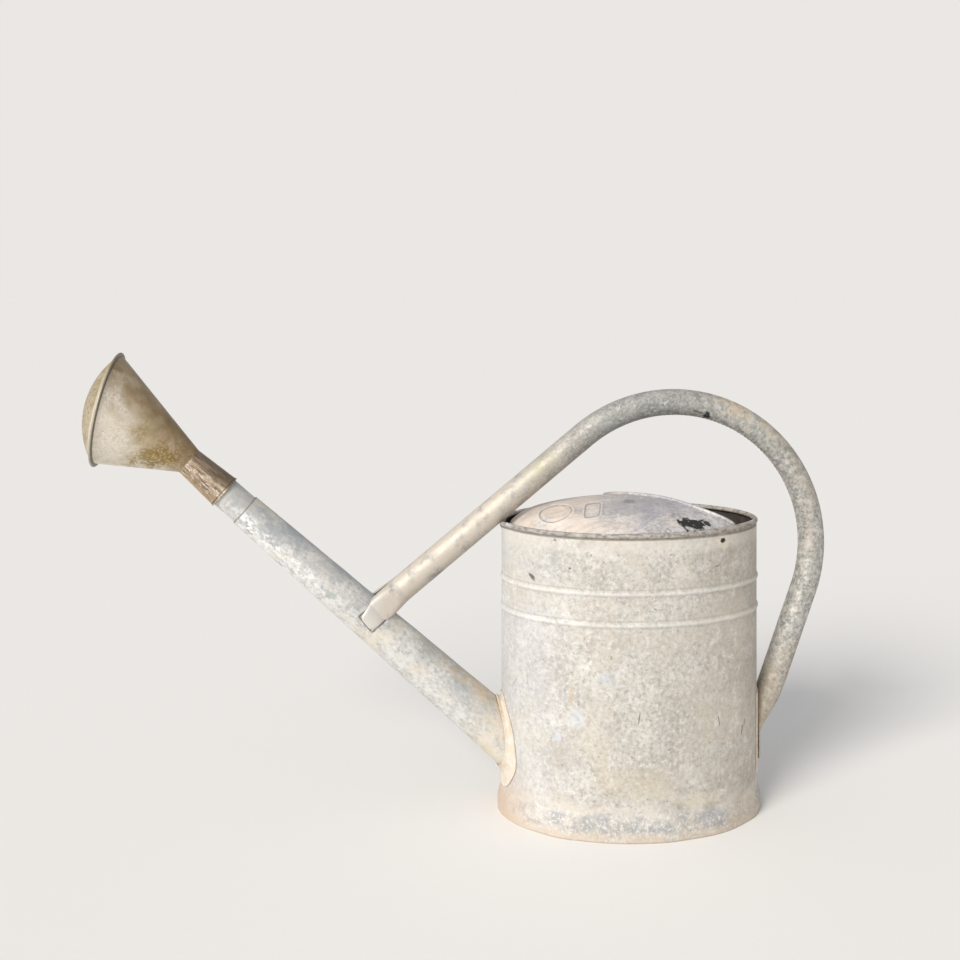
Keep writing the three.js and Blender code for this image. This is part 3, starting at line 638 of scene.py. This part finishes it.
class Paint:
    """One material's nodes. Places are can millimetres, and sizes of noise are in millimetres."""

    def __init__(self, name, metallic=0.3):
        self.material = bpy.data.materials.new(name)
        self.material.use_nodes = True
        self.nodes = self.material.node_tree.nodes
        self.shader = self.nodes["Principled BSDF"]
        self.shader.inputs["Metallic"].default_value = metallic
        self.place = self.nodes.new("ShaderNodeTexCoord").outputs["Object"]
        self.seed = 0.0
        self.grains = self.colour = None

    def node(self, kind, inputs, **settings):
        node = self.nodes.new(kind)
        for key, value in settings.items():
            setattr(node, key, value)
        for key, value in inputs.items():
            if isinstance(value, bpy.types.NodeSocket):
                self.material.node_tree.links.new(value, node.inputs[key])
            else:
                node.inputs[key].default_value = value
        return node

    def math(self, operation, a, b=0.0):
        return self.node("ShaderNodeMath", {0: a, 1: b}, operation=operation).outputs[0]

    def scaled(self, value, factor, offset):
        inputs = {0: value, 1: factor, 2: offset}
        return self.node("ShaderNodeMath", inputs, operation="MULTIPLY_ADD").outputs[0]

    def vector_math(self, operation, *values):
        return self.node("ShaderNodeVectorMath", dict(enumerate(values)), operation=operation).outputs

    def length(self, a, b):
        pair = self.node("ShaderNodeCombineXYZ", {0: a, 1: b}).outputs[0]
        return self.vector_math("LENGTH", pair)["Value"]

    def placed(self, location, turn, scale):
        """The point as seen from the location, turned about Y and scaled."""
        inputs = {"Vector": self.place, "Location": location, "Rotation": (0, turn, 0), "Scale": scale}
        return self.node("ShaderNodeMapping", inputs, vector_type="TEXTURE").outputs[0]

    def noise(self, pitch, detail=4, stretch=(1, 1, 1), rough=0.55, slope=0.0):
        """Cloudy noise, about 0.3 to 0.7, its features pitch millimetres wide.

        They are longer along a stretched axis, and the axes are first turned by slope about Y."""
        self.seed += 0.37
        scale = [pitch * s / 1000 for s in stretch]
        place = self.placed((self.seed, self.seed * 2, -self.seed), slope, scale)
        inputs = {"Vector": place, "Scale": 1.0, "Detail": detail, "Roughness": rough}
        return self.node("ShaderNodeTexNoise", inputs).outputs["Fac"]

    def sway(self, height, *size):
        """Noise about zero, of about that height."""
        return self.times(self.math("SUBTRACT", self.noise(*size), 0.5), height)

    def ramp(self, value, start, end):
        """0 where value is under start and 1 over end, or the other way round if start is greater."""
        inputs = {"Value": value, "From Min": start, "From Max": end}
        return self.node("ShaderNodeMapRange", inputs, clamp=True).outputs[0]

    def patches(self, start, end, *size, **shape):
        """Patches of noise: 0 where it is under start, 1 over end."""
        return self.ramp(self.noise(*size, **shape), start, end)

    def mix(self, share, below, above):
        node = self.node("ShaderNodeMix", {}, data_type="RGBA")
        sockets = {"Factor": node.inputs[0], "A": node.inputs[6], "B": node.inputs[7]}
        for key, value in (("Factor", share), ("A", below), ("B", above)):
            if isinstance(value, bpy.types.NodeSocket):
                self.material.node_tree.links.new(value, sockets[key])
            elif key == "Factor":
                sockets[key].default_value = value
            else:
                sockets[key].default_value = (*value, 1)
        return node.outputs[2]

    def axis(self, name):
        """x or y or z of the point, in can millimetres."""
        value = self.node("ShaderNodeSeparateXYZ", {0: self.place}).outputs["XYZ".index(name)]
        return self.scaled(value, 1000.0, -SHIFT[0] if name == "X" else 0.0)

    def along(self, start, direction):
        """How far the point is from start along a direction, in millimetres."""
        offset = self.vector_math("SUBTRACT", self.place, metres(start))[0]
        return self.times(self.vector_math("DOT_PRODUCT", offset, direction)["Value"], 1000.0)

    def oval_share(self, out):
        """1 on the oval grown by out, less inside it."""
        x = self.math("DIVIDE", self.axis("X"), HALF_LENGTH + out)
        y = self.math("DIVIDE", self.axis("Y"), HALF_WIDTH + out)
        return self.math("ADD", self.times(x, x), self.times(y, y))

    def band(self, value, middle, half, soft):
        """1 within half of the middle, fading to 0 over soft."""
        away = self.math("ABSOLUTE", self.math("SUBTRACT", value, middle))
        return self.ramp(away, half + soft, half)

    def grain(self):
        """Fine crystalline noise, 0 to 1, shared by all the material's marks."""
        if self.grains is None:
            self.grains = self.patches(0.36, 0.56, 2.6, 6, (1, 1, 1), 0.75)
        return self.grains

    def spot(self, centre, size, turn=0, ragged=0.5, grain=9, soft=0.2):
        """1 inside an ellipsoid of those half sizes, turned about Y, 0 outside it, with a ragged edge."""
        local = self.placed(metres(centre), math.radians(turn), [v / 1000 for v in size])
        length = self.vector_math("LENGTH", local)["Value"]
        return self.ramp(self.math("ADD", length, self.sway(ragged * 4, grain, 3)), 1 + soft, 1 - soft)

    def lay(self, shade, *shares):
        """Lays a shade over the colour so far, as strongly as the product of the shares."""
        self.colour = self.mix(self.times(*shares), self.colour, shade)

    def marks(self, marks, ragged=0.5, grain=9):
        """Lays each (centre, half sizes, turn, shade, share). Large pale ones are broken up by the grain."""
        for centre, size, turn, shade, share in marks:
            pale = sorted(size)[1] > 5 and max(shade) > 0.1
            shape = self.spot(centre, size, turn, ragged, grain, 0.55 if pale else 0.2)
            self.lay(shade, *((shape, share, self.grain()) if pale else (shape, share)))

    def times(self, *values):
        result = values[0]
        for value in values[1:]:
            result = self.math("MULTIPLY", result, value)
        return result

    def bump(self, *layers):
        """Fine unevenness: each layer is (noise socket, height in millimetres)."""
        normal = None
        for value, height in layers:
            inputs = {"Height": value, "Distance": height / 1000, "Strength": 1.0}
            if normal:
                inputs["Normal"] = normal
            normal = self.node("ShaderNodeBump", inputs).outputs[0]
        self.material.node_tree.links.new(normal, self.shader.inputs["Normal"])

    def done(self, roughness):
        links = self.material.node_tree.links
        links.new(self.colour, self.shader.inputs["Base Color"])
        if isinstance(roughness, bpy.types.NodeSocket):
            links.new(roughness, self.shader.inputs["Roughness"])
        else:
            self.shader.inputs["Roughness"].default_value = roughness
        return self.material


def zinc_clouds(paint, dark, middle, light, pitch=42, grain=3.2, slope=0.0, stretch=(1, 1, 1)):
    """Mottled galvanised sheet: large clouds, small flakes and a fine crystalline grain."""
    clouds = paint.noise(pitch, 6, stretch, 0.62, slope)
    paint.colour = paint.mix(paint.ramp(clouds, 0.36, 0.64), dark, light)
    paint.lay(middle, paint.patches(0.36, 0.66, pitch / 4.5, 5, stretch, 0.6, slope))
    fine = paint.noise(grain, 6, stretch, 0.72, slope)
    paint.lay([min(1, v * 1.06) for v in light], paint.ramp(fine, 0.51, 0.62), 0.75)
    paint.lay([v * 0.82 for v in dark], paint.ramp(fine, 0.48, 0.36), 0.75)


def body_zinc():
    paint = Paint("body zinc", 0.15)
    x, z = paint.axis("X"), paint.axis("Z")
    zinc_clouds(paint, (0.37, 0.35, 0.315), (0.525, 0.497, 0.45), (0.67, 0.65, 0.61), 46, 4.2)
    paint.lay((0.43, 0.43, 0.42), paint.patches(0.5, 0.68, 7, 5, (1, 1, 5)), 0.3)
    # Painted light on the left side, paler and bluer, and painted shade on the right side, darker and
    # browner
    paint.lay((0.6, 0.61, 0.635), paint.ramp(x, -60, -136), 0.5)
    paint.lay((0.44, 0.38, 0.305), paint.ramp(x, 15, 110), 0.5)
    paint.lay((0.6, 0.545, 0.45), paint.patches(0.46, 0.62, 52, 4), 0.4)
    white = paint.times(paint.patches(0.5, 0.64, 11, 6, rough=0.7), paint.patches(0.42, 0.6, 50, 3))
    paint.lay((0.755, 0.75, 0.73), white, paint.grain(), 0.8)
    paint.lay((0.2, 0.19, 0.18), paint.patches(0.66, 0.71, 4, 3), 0.6)
    # The rim: a lighter band under it, a brown line of painted shade in the crease under the roll, and a
    # grey worn roll
    height = paint.math("ADD", z, paint.sway(9.0, 26, 3))
    paint.lay((0.68, 0.64, 0.58), paint.band(height, 296, 4, 6), 0.4)
    roll = paint.ramp(z, 302.5, 304)
    paint.lay((0.31, 0.285, 0.26), roll, paint.patches(0.28, 0.5, 7, 5), 0.72)
    paint.lay((0.14, 0.12, 0.1), roll, paint.patches(0.5, 0.6, 3, 5, (2, 2, 1)), 0.6)
    paint.lay((0.17, 0.14, 0.11), paint.band(z, 303.2, 0.8, 0.9), 0.7)
    # The two beads: a painted highlight along each ridge, partly wear, and a thin line of painted shade
    # beside each
    for swage in SWAGES:
        paint.lay((0.76, 0.755, 0.735), paint.band(z, swage - 0.2, 0.9, 1.8), 0.4)
        paint.lay((0.33, 0.32, 0.3), paint.band(z, swage + 4.4, 0.3, 1.0), 0.35)
    # The foot: a pale band along the crease, a painted highlight broken up by patches, blue-grey patches
    # under it, cream and peach at the edge
    paint.lay((0.68, 0.63, 0.56), paint.band(height, 29, 3, 5), paint.patches(0.36, 0.6, 16, 5), 0.6)
    paint.lay((0.31, 0.32, 0.34), paint.band(height, 17, 6, 5), paint.patches(0.44, 0.6, 13, 5), 0.7)
    flecks = paint.times(paint.ramp(z, 30, 22), paint.patches(0.52, 0.6, 3.2, 6, (1, 1, 1), 0.75))
    paint.lay((0.76, 0.74, 0.7), flecks, 0.7)
    paint.lay((0.6, 0.5, 0.395), paint.ramp(height, 12, 3), paint.patches(0.3, 0.55, 14, 4), 0.7)
    # A dark line along the bottom edge: painted shade, and wear
    paint.lay((0.3, 0.24, 0.18), paint.ramp(z, 1.6, 0.4), 0.6)
    paint.lay((0.56, 0.445, 0.345), paint.ramp(x, -100, -138), paint.ramp(z, 60, 20), 0.85)
    paint.marks(BODY_MARKS)
    # Inside, the metal is painted dark: painted shade inside the can, with dirt
    inside = paint.ramp(paint.oval_share(SHEET * -0.5), 1.002, 0.998)
    inside = paint.times(inside, paint.ramp(z, 11, 11.6), paint.ramp(z, 306, 304.5))
    shade_and_dirt = paint.mix(paint.patches(0.35, 0.65, 14, 5), (0.022, 0.018, 0.014), (0.075, 0.062, 0.05))
    paint.lay(shade_and_dirt, inside)
    paint.bump((paint.noise(2.4, 5), 0.22), (paint.noise(9, 4), 0.4))
    return paint.done(paint.scaled(paint.patches(0.2, 0.8, 14, 4), 0.2, 0.6))


BLACK, DARK = (0.02, 0.02, 0.02), (0.13, 0.125, 0.12)
CREAM, BLUE, OCHRE = (0.72, 0.64, 0.5), (0.36, 0.39, 0.44), (0.55, 0.41, 0.22)
BODY_MARKS = [
    ((82, -72.8, 297.5), (9, 6, 6), 0, CREAM, 0.75),
    ((82, -72.8, 297.5), (3.2, 4, 2.6), 0, BLACK, 1.0),
    ((-112.9, -52.1, 260), (5.5, 3, 1.5), 35, DARK, 0.95),
    ((-111, -53, 256.5), (3.5, 3, 1.0), 40, DARK, 0.7),
    ((-76.9, -75.2, 272.4), (1.3, 2, 1.1), 0, DARK, 0.8),
    ((74.8, -76.1, 271.8), (3.4, 2, 0.9), -12, DARK, 0.8),
    ((-91.4, -67.8, 300), (1.6, 2, 1.2), 0, DARK, 0.6),
    ((-9.3, -90.3, 122.5), (0.7, 2, 7), 8, DARK, 0.75),
    ((77.2, -75, 113.1), (0.6, 2, 6), -8, DARK, 0.7),
    ((106.6, -57.5, 95.2), (0.7, 2, 6), 10, DARK, 0.8),
    ((110, -54, 103), (0.6, 2, 4), 10, DARK, 0.6),
    ((-30.4, -88.3, 17.7), (1.5, 2, 1.2), 0, BLACK, 0.95),
    ((-127.9, -34, 146), (0.7, 4, 18), 22, (0.34, 0.36, 0.4), 0.65),
    ((-116.5, -48.5, 150), (0.6, 4, 11), -6, (0.36, 0.38, 0.42), 0.55),
    ((-121, -42.5, 122), (0.6, 4, 9), 34, (0.38, 0.4, 0.44), 0.5),
    ((77.2, -75, 20), (17, 12, 5), 0, BLUE, 0.5),
    ((104, -60, 24), (8, 12, 7), 0, (0.34, 0.33, 0.33), 0.35),
    ((112, -56, 15), (24, 26, 14), 0, (0.66, 0.55, 0.42), 0.65),
    ((55, -83, 38), (26, 14, 6), 0, CREAM, 0.55),
    ((-75.6, -75.6, 147), (1.3, 5, 12), 0, OCHRE, 0.5),
    ((-88, -69, 85), (12, 14, 15), 0, (0.46, 0.4, 0.32), 0.45),
    ((-15, -90, 58), (30, 16, 14), 0, (0.55, 0.47, 0.34), 0.5),
    ((-45, -86, 70), (6, 10, 16), 0, (0.54, 0.45, 0.31), 0.4),
    ((-42, -86, 164), (6, 8, 6), 0, (0.52, 0.58, 0.68), 0.55),
    ((-70, -78, 122), (6, 8, 9), 0, (0.6, 0.68, 0.78), 0.55),
    ((-88, -70, 101), (3, 6, 4), 0, (0.6, 0.68, 0.78), 0.5),
]


def hood_zinc():
    paint = Paint("hood zinc", 0.2)
    x, y = paint.axis("X"), paint.axis("Y")
    zinc_clouds(paint, (0.3, 0.29, 0.295), (0.48, 0.46, 0.46), (0.64, 0.62, 0.61), 24, 3.6)
    warm = paint.ramp(x, 10, -70)
    paint.lay((0.78, 0.67, 0.57), warm, paint.patches(0.26, 0.5, 26, 4), 0.85)
    # Painted light on the near side of the dome, in pale patches
    light = paint.times(paint.patches(0.52, 0.62, 15, 5), paint.ramp(y, 0, -40))
    paint.lay((0.76, 0.73, 0.7), light, paint.grain(), 0.6)
    lilac = paint.spot((12, -30, 325), (40, 34, 20), 0, 0.8, 16)
    paint.lay((0.37, 0.345, 0.395), lilac, 0.5)
    paint.lay((0.28, 0.255, 0.245), paint.patches(0.5, 0.62, 3.4, 4, (9, 1, 9)), 0.2)
    # The pressed ring and cartouche: a painted highlight along each raised line, and a line of painted shade
    # with a little dirt inside it
    dx, dy = paint.math("SUBTRACT", x, RING_CENTRE[0]), paint.math("SUBTRACT", y, RING_CENTRE[1])
    reach = paint.length(paint.math("DIVIDE", dx, RING_HALF[0]), paint.math("DIVIDE", dy, RING_HALF[1]))
    paint.lay((0.24, 0.225, 0.22), paint.band(reach, 0.9, 0.02, 0.07), paint.patches(0.3, 0.5, 6, 3), 0.65)
    paint.lay((0.76, 0.71, 0.66), paint.band(reach, 1.0, 0.03, 0.05), 0.65)
    dx, dy = paint.math("SUBTRACT", x, BOX_CENTRE[0]), paint.math("SUBTRACT", y, BOX_CENTRE[1])
    lean = paint.math("ABSOLUTE", paint.math("SUBTRACT", dx, paint.times(dy, BOX_LEAN)))
    sides = zip((lean, paint.math("ABSOLUTE", dy)), BOX_HALF)
    powers = [paint.math("POWER", paint.math("DIVIDE", side, half), 5.0) for side, half in sides]
    edge = paint.math("POWER", paint.math("ADD", *powers), 0.2)
    paint.lay((0.24, 0.225, 0.22), paint.band(edge, 0.84, 0.03, 0.09), 0.6)
    paint.lay((0.76, 0.71, 0.66), paint.band(edge, 1.0, 0.03, 0.06), 0.65)
    # Painted shade in the crevice where the hood meets the rim
    crevice_shade = paint.ramp(paint.oval_share(HOOD_OUT), 0.92, 0.99)
    paint.lay((0.07, 0.058, 0.048), crevice_shade, 0.95)
    paint.marks(HOOD_MARKS, 0.9, 7)
    paint.bump((paint.noise(2.6, 5), 0.25), (paint.noise(12, 3), 0.5))
    return paint.done(0.6)


HOOD_MARKS = [
    ((30, -66, 311), (9, 7, 9), 0, (0.7, 0.63, 0.52), 0.8),
    ((50, -66, 311), (14, 8, 9), 0, (0.02, 0.018, 0.016), 1.0),
    ((68, -63, 309), (3, 3, 6), 0, (0.02, 0.018, 0.016), 0.95),
    ((-3, -21, 328.2), (6, 6, 4), 0, (0.13, 0.13, 0.15), 0.8),
]


def spout_zinc():
    paint = Paint("spout zinc", 0.25)
    x, run = paint.axis("X"), paint.along(SPOUT_ROOT, SPOUT_ALONG)
    side = paint.along(SPOUT_ROOT, SPOUT_UPPER)
    shades = (0.42, 0.42, 0.4), (0.58, 0.565, 0.53), (0.71, 0.7, 0.67)
    zinc_clouds(paint, *shades, 26, 3.0, SPOUT_SLOPE, (1.5, 1, 1))
    # Painted shade on the upper side, blue-grey, in patches
    paint.lay((0.33, 0.36, 0.385), paint.ramp(side, -6, 14), paint.patches(0.4, 0.6, 30, 4), 0.6)
    paint.lay((0.33, 0.35, 0.375), paint.ramp(run, 230, 300), paint.patches(0.42, 0.58, 20, 4), 0.65)
    # Painted glints on the lower side towards the tip
    painted_glints = paint.times(
        paint.ramp(run, 200, 290), paint.ramp(side, 6, -4),
        paint.patches(0.46, 0.55, 4.5, 6, (1.5, 1, 1), 0.75, SPOUT_SLOPE)
    )
    paint.lay((0.92, 0.92, 0.91), painted_glints, 0.95)
    # Painted light on the lower side, in patches
    paint.lay((0.76, 0.77, 0.77), paint.ramp(side, 2, -10), paint.patches(0.45, 0.57, 12, 5), 0.6)
    warm = paint.patches(0.52, 0.66, 22, 4, (2, 1, 1), 0.55, SPOUT_SLOPE)
    paint.lay((0.74, 0.66, 0.53), warm, 0.55)
    upper = paint.times(
        paint.ramp(side, 12, 20), paint.ramp(run, 150, 60), paint.patches(0.4, 0.55, 8, 4)
    )
    paint.lay((0.52, 0.38, 0.22), upper, 0.6)
    paint.lay((0.72, 0.63, 0.5), paint.ramp(x, -178, -150), paint.patches(0.35, 0.58, 12, 4), 0.7)
    green = paint.spot((-320, -22, 237), (8, 8, 4), 40, 0.8, 6)
    paint.lay((0.3, 0.36, 0.31), green, 0.6)
    # Painted shade and dirt along the outline of the handle's flattened end
    high, wide = paint.along(FORK_ROOT, FRONT_ALONG), paint.along(FORK_ROOT, FRONT_UP)
    past = paint.math("SUBTRACT", paint.math("ABSOLUTE", wide), FORK_HALF)
    past = paint.math("MAXIMUM", past, paint.math("SUBTRACT", -FORK_DROP, high))
    paint.lay((0.09, 0.075, 0.06), paint.band(past, 0.3, 0.6, 0.7), paint.patches(0.3, 0.5, 5, 3), 0.85)
    paint.lay((0.22, 0.21, 0.2), paint.band(run, SPOUT_LENGTH - 0.4, 0.4, 0.8), 0.75)
    sleeve = paint.ramp(run, SPOUT_LENGTH + 0.5, SPOUT_LENGTH + 2)
    paint.lay((0.44, 0.45, 0.43), sleeve, 0.45)
    paint.bump((paint.noise(2.0, 5), 0.22), (paint.noise(8, 4), 0.4))
    return paint.done(0.55)


def flange_zinc():
    paint = Paint("flange zinc", 0.1)
    paint.colour = paint.mix(paint.patches(0.36, 0.62, 12, 5), (0.6, 0.545, 0.47), (0.72, 0.68, 0.62))
    paint.lay((0.76, 0.72, 0.66), paint.patches(0.5, 0.66, 3, 5), 0.5)
    # Brown at the top where the flange meets the wall: rust, and painted shade in the crevice
    rust_and_crevice_shade = paint.times(paint.spot((-147, -22, 118), (7, 16, 16), 0, 0.8, 8), paint.patches(0.4, 0.56, 4, 5))
    paint.lay((0.52, 0.3, 0.15), rust_and_crevice_shade, 0.9)
    paint.lay((0.72, 0.56, 0.4), paint.patches(0.42, 0.58, 9, 4), 0.5)
    paint.bump((paint.noise(2.6, 4), 0.35), (paint.noise(8, 3), 0.8))
    return paint.done(0.68)


def handle_zinc():
    paint = Paint("handle zinc", 0.3)
    x, z = paint.axis("X"), paint.axis("Z")
    zinc_clouds(paint, (0.185, 0.188, 0.18), (0.29, 0.288, 0.27), (0.43, 0.43, 0.405), 24, 3.2)
    flecks = paint.patches(0.58, 0.66, 3, 3, (1.4, 1, 1.4), 0.8)
    paint.lay((0.6, 0.61, 0.6), flecks, 0.8)
    paint.lay((0.62, 0.555, 0.475), paint.ramp(x, -20, -150), paint.patches(0.26, 0.5, 16, 5), 0.85)
    worn = paint.times(paint.patches(0.44, 0.62, 6.5, 6, rough=0.7), paint.ramp(x, 50, 105))
    paint.lay((0.64, 0.6, 0.545), worn, 0.8)
    paint.marks(HANDLE_MARKS, 1.0, 9)
    paint.lay((0.51, 0.41, 0.28), paint.ramp(z, 190, 70), paint.patches(0.3, 0.52, 12, 4), 0.8)
    # Rust along the hoop's outer edge
    reach = paint.length(paint.math("SUBTRACT", x, BEND_X), paint.math("SUBTRACT", z, BEND_Z))
    outer = paint.ramp(reach, BEND_RADIUS + 9, BEND_RADIUS + 13)
    outer = paint.times(outer, paint.ramp(x, 60, 110), paint.ramp(z, 180, 240))
    paint.lay((0.29, 0.205, 0.135), outer, paint.patches(0.46, 0.6, 9, 6, rough=0.7), 0.75)
    paint.lay((0.66, 0.655, 0.62), paint.ramp(x, -262, -272), 0.6)
    paint.bump((paint.noise(2.0, 5), 0.2), (paint.noise(9, 3), 0.35))
    return paint.done(paint.scaled(paint.noise(14, 4), 0.3, 0.42))


HANDLE_MARKS = [
    ((117, -8, 428), (17, 14, 12), 35, (0.6, 0.49, 0.35), 0.85),
    ((152, -6, 404), (20, 14, 8), 48, (0.54, 0.46, 0.34), 0.7),
    ((185, -6, 360), (8, 14, 36), -25, (0.43, 0.37, 0.28), 0.6),
    ((196, -4, 300), (5, 14, 40), -4, (0.4, 0.33, 0.25), 0.5),
    ((-98, -10, 367), (20, 12, 8), -40, (0.47, 0.45, 0.29), 0.6),
    ((-20, -10, 408), (30, 12, 10), -35, (0.56, 0.59, 0.58), 0.2),
    ((83, -11, 418), (4, 6, 4.5), 20, (0.03, 0.03, 0.03), 1.0),
    ((76, -11, 421), (7, 5, 1.2), 20, (0.1, 0.1, 0.1), 0.8),
]


def wire_steel():
    paint = Paint("wire steel", 0.6)
    paint.colour = paint.mix(paint.noise(5, 3), (0.22, 0.2, 0.19), (0.36, 0.34, 0.32))
    return paint.done(0.6)


def collar_brass():
    paint = Paint("collar brass", 0.4)
    side, run = paint.along(SPOUT_ROOT, SPOUT_UPPER), paint.along(SPOUT_ROOT, SPOUT_ALONG)
    streaks = paint.noise(3.2, 6, (6, 1, 1), 0.7, SPOUT_SLOPE)
    paint.colour = paint.mix(paint.ramp(streaks, 0.38, 0.6), (0.16, 0.1, 0.055), (0.5, 0.39, 0.28))
    # Painted glints on the lower side
    painted_glints = paint.times(
        paint.patches(0.5, 0.62, 2.2, 5, (3, 1, 1), 0.7, SPOUT_SLOPE), paint.ramp(side, 10, 0)
    )
    paint.lay((0.78, 0.7, 0.62), painted_glints, 0.9)
    # Painted shade on the upper side
    paint.lay((0.1, 0.07, 0.04), paint.ramp(side, 4, 13), 0.7)
    paint.lay((0.38, 0.27, 0.11), paint.ramp(side, -7, -14), 0.6)
    # A dark line of painted shade just behind the lip
    paint.lay((0.05, 0.04, 0.03), paint.band(run, COLLAR_START + 2.4, 0.3, 0.7), 0.8)
    paint.bump((streaks, 0.25), (paint.noise(6, 4), 0.3))
    return paint.done(0.45)


def rose_brass():
    paint = Paint("rose brass", 0.3)
    level, upper = paint.along(ROSE_CENTRE, ROSE_AXIS), paint.along(ROSE_CENTRE, ROSE_UPPER)
    paint.colour = paint.mix(paint.patches(0.36, 0.62, 26, 5), (0.6, 0.53, 0.41), (0.79, 0.71, 0.58))
    fine = paint.noise(2.6, 6, (1, 1, 1), 0.72)
    paint.lay((0.66, 0.64, 0.57), paint.ramp(fine, 0.5, 0.64), 0.45)
    paint.lay((0.25, 0.21, 0.13), paint.ramp(fine, 0.46, 0.36), 0.35)
    # Brown spreads from the upper edge and the neck over the cone: patina, and painted shade on the upper
    # side
    spread = paint.math("ADD", upper, paint.times(level, -0.95))
    spread = paint.math("ADD", spread, paint.sway(60.0, 22, 5))
    paint.lay((0.41, 0.28, 0.125), paint.ramp(spread, 8, 62), 0.9)
    paint.lay((0.12, 0.068, 0.024), paint.ramp(spread, 42, 84), 0.9)
    paint.marks(ROSE_SHEEN_AND_MARKS, 0.8, 12)
    # The folded rim's darker band, a thin line of painted shade under the fold, and the speckled golden face
    # beyond it
    paint.lay((0.3, 0.265, 0.185), paint.band(level, -1.3, 1.4, 0.6), 0.6)
    paint.lay((0.09, 0.085, 0.075), paint.band(level, -2.9, 0.3, 0.5), 0.8)
    face = paint.mix(paint.patches(0.4, 0.6, 9, 5), (0.29, 0.22, 0.085), (0.44, 0.37, 0.25))
    face = paint.mix(paint.times(paint.ramp(fine, 0.5, 0.4), 0.5), face, (0.18, 0.13, 0.06))
    paint.lay(face, paint.ramp(level, 0.5, 3), 0.85)
    paint.bump((paint.noise(2.4, 5), 0.2), (paint.noise(14, 3), 0.4))
    return paint.done(0.42)


ROSE_SHEEN_AND_MARKS = [
    # The first two are painted sheen on the near side of the cone; the rest are patina and other marks
    ((-545, -36, 420), (20, 26, 32), 0, (0.88, 0.8, 0.69), 0.95),
    ((-536, -40, 398), (17, 24, 17), 0, (0.84, 0.78, 0.68), 0.7),
    ((-499, -22, 382), (22, 20, 15), -10, (0.27, 0.17, 0.03), 1.0),
    ((-496, -24, 384), (14, 18, 9), -6, (0.25, 0.155, 0.03), 0.9),
    ((-503, -24, 384), (15, 16, 4.5), 12, (0.33, 0.225, 0.06), 0.8),
    ((-508, -36, 410), (8, 16, 12), 40, (0.34, 0.25, 0.09), 0.8),
    ((-474, -6, 384), (16, 22, 18), 0, (0.21, 0.13, 0.055), 0.85),
    ((-556, -12, 468), (7, 12, 1.2), -5, (0.2, 0.19, 0.17), 0.7),
]


# The object


def build_can():
    finishes = (body_zinc, hood_zinc, spout_zinc, flange_zinc, handle_zinc, wire_steel)
    finishes = {make.__name__: make() for make in finishes}
    for make, slot, node in (
        (make_body_wall, "body_zinc", "body_wall"),
        (make_hood, "hood_zinc", "hood"),
        (make_spout_tube, "spout_zinc", "spout_tube"),
        (make_spout_flange, "flange_zinc", "spout_flange"),
        (make_ferrule, "spout_zinc", "spout_ferrule"),
        (make_handle, "handle_zinc", "handle_tube"),
        (make_handle_patch, "flange_zinc", "handle_back_patch"),
        (make_hood_wire, "wire_steel", "hood_edge_wire"),
    ):
        finish_piece(make(), finishes[slot], node)
    for name, slot in (("rim_wire", "wire_steel"), ("bottom_plate", "body_zinc")):
        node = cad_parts[name]
        node.data.materials.clear()
        node.data.materials.append(finishes[slot])


def build_rose():
    collar, brass = collar_brass(), rose_brass()
    finish_piece(make_rose_collar(), collar, "rose_collar", "rose")
    finish_piece(make_rose_cone(), brass, "rose_cone", "rose")
    finish_piece(make_rose_face(), brass, "rose_face", "rose")


# Stage, light and camera


def plain_floor():
    mesh = bpy.data.meshes.new("floor")
    mesh.from_pydata([(-40, -40, 0), (40, -40, 0), (40, 40, 0), (-40, 40, 0)], [], [(0, 1, 2, 3)])
    floor = bpy.data.objects.new("floor", mesh)
    bpy.context.scene.collection.objects.link(floor)
    material = bpy.data.materials.new("floor")
    material.use_nodes = True
    shader = material.node_tree.nodes["Principled BSDF"]
    shader.inputs["Base Color"].default_value = (0.8, 0.79, 0.77, 1)
    shader.inputs["Roughness"].default_value = 0.9
    shader.inputs["Specular IOR Level"].default_value = 0.1
    mesh.materials.append(material)


def sky(strength, backdrop):
    """Even light, and a plain backdrop of the given grey where the camera sees past the floor."""
    world = bpy.data.worlds.new("sky")
    bpy.context.scene.world = world
    world.use_nodes = True
    nodes, links = world.node_tree.nodes, world.node_tree.links
    background = nodes["Background"]
    background.inputs["Strength"].default_value = 1.0
    seen = nodes.new("ShaderNodeMix")
    seen.data_type = "RGBA"
    links.new(nodes.new("ShaderNodeLightPath").outputs["Is Camera Ray"], seen.inputs[0])
    seen.inputs[6].default_value = (0.965 * strength, 0.975 * strength, 1.005 * strength, 1)
    seen.inputs[7].default_value = (*backdrop, 1)
    links.new(seen.outputs[2], background.inputs["Color"])


def sun_light(azimuth, elevation, power, softness):
    """A wide sun from the given degrees left of the camera, above the floor."""
    data = bpy.data.lights.new("sun", "SUN")
    data.energy, data.angle, data.color = power, math.radians(softness), (1.0, 0.96, 0.905)
    lamp = bpy.data.objects.new("sun", data)
    a, e = math.radians(azimuth), math.radians(elevation)
    source = Vector((-math.sin(a) * math.cos(e), -math.cos(a) * math.cos(e), math.sin(e)))
    lamp.rotation_euler = source.to_track_quat("Z", "Y").to_euler()
    lamp.location = source * 3
    bpy.context.scene.collection.objects.link(lamp)


def photo_camera():
    data = bpy.data.cameras.new("camera")
    data.lens, data.sensor_width = 44.25, 36
    data.shift_x, data.shift_y = 0, -0.2054
    camera = bpy.data.objects.new("camera", data)
    camera.location = (-0.09045, -1.2555, 0.5611)
    camera.rotation_euler = (math.radians(90), 0, math.radians(-5))
    bpy.context.scene.collection.objects.link(camera)
    bpy.context.scene.camera = camera


build_can()
build_rose()
plain_floor()
sky(0.56, (0.822, 0.801, 0.775))
sun_light(42, 30, 3.15, 28)
photo_camera()
bpy.context.scene.view_settings.view_transform = "Standard"
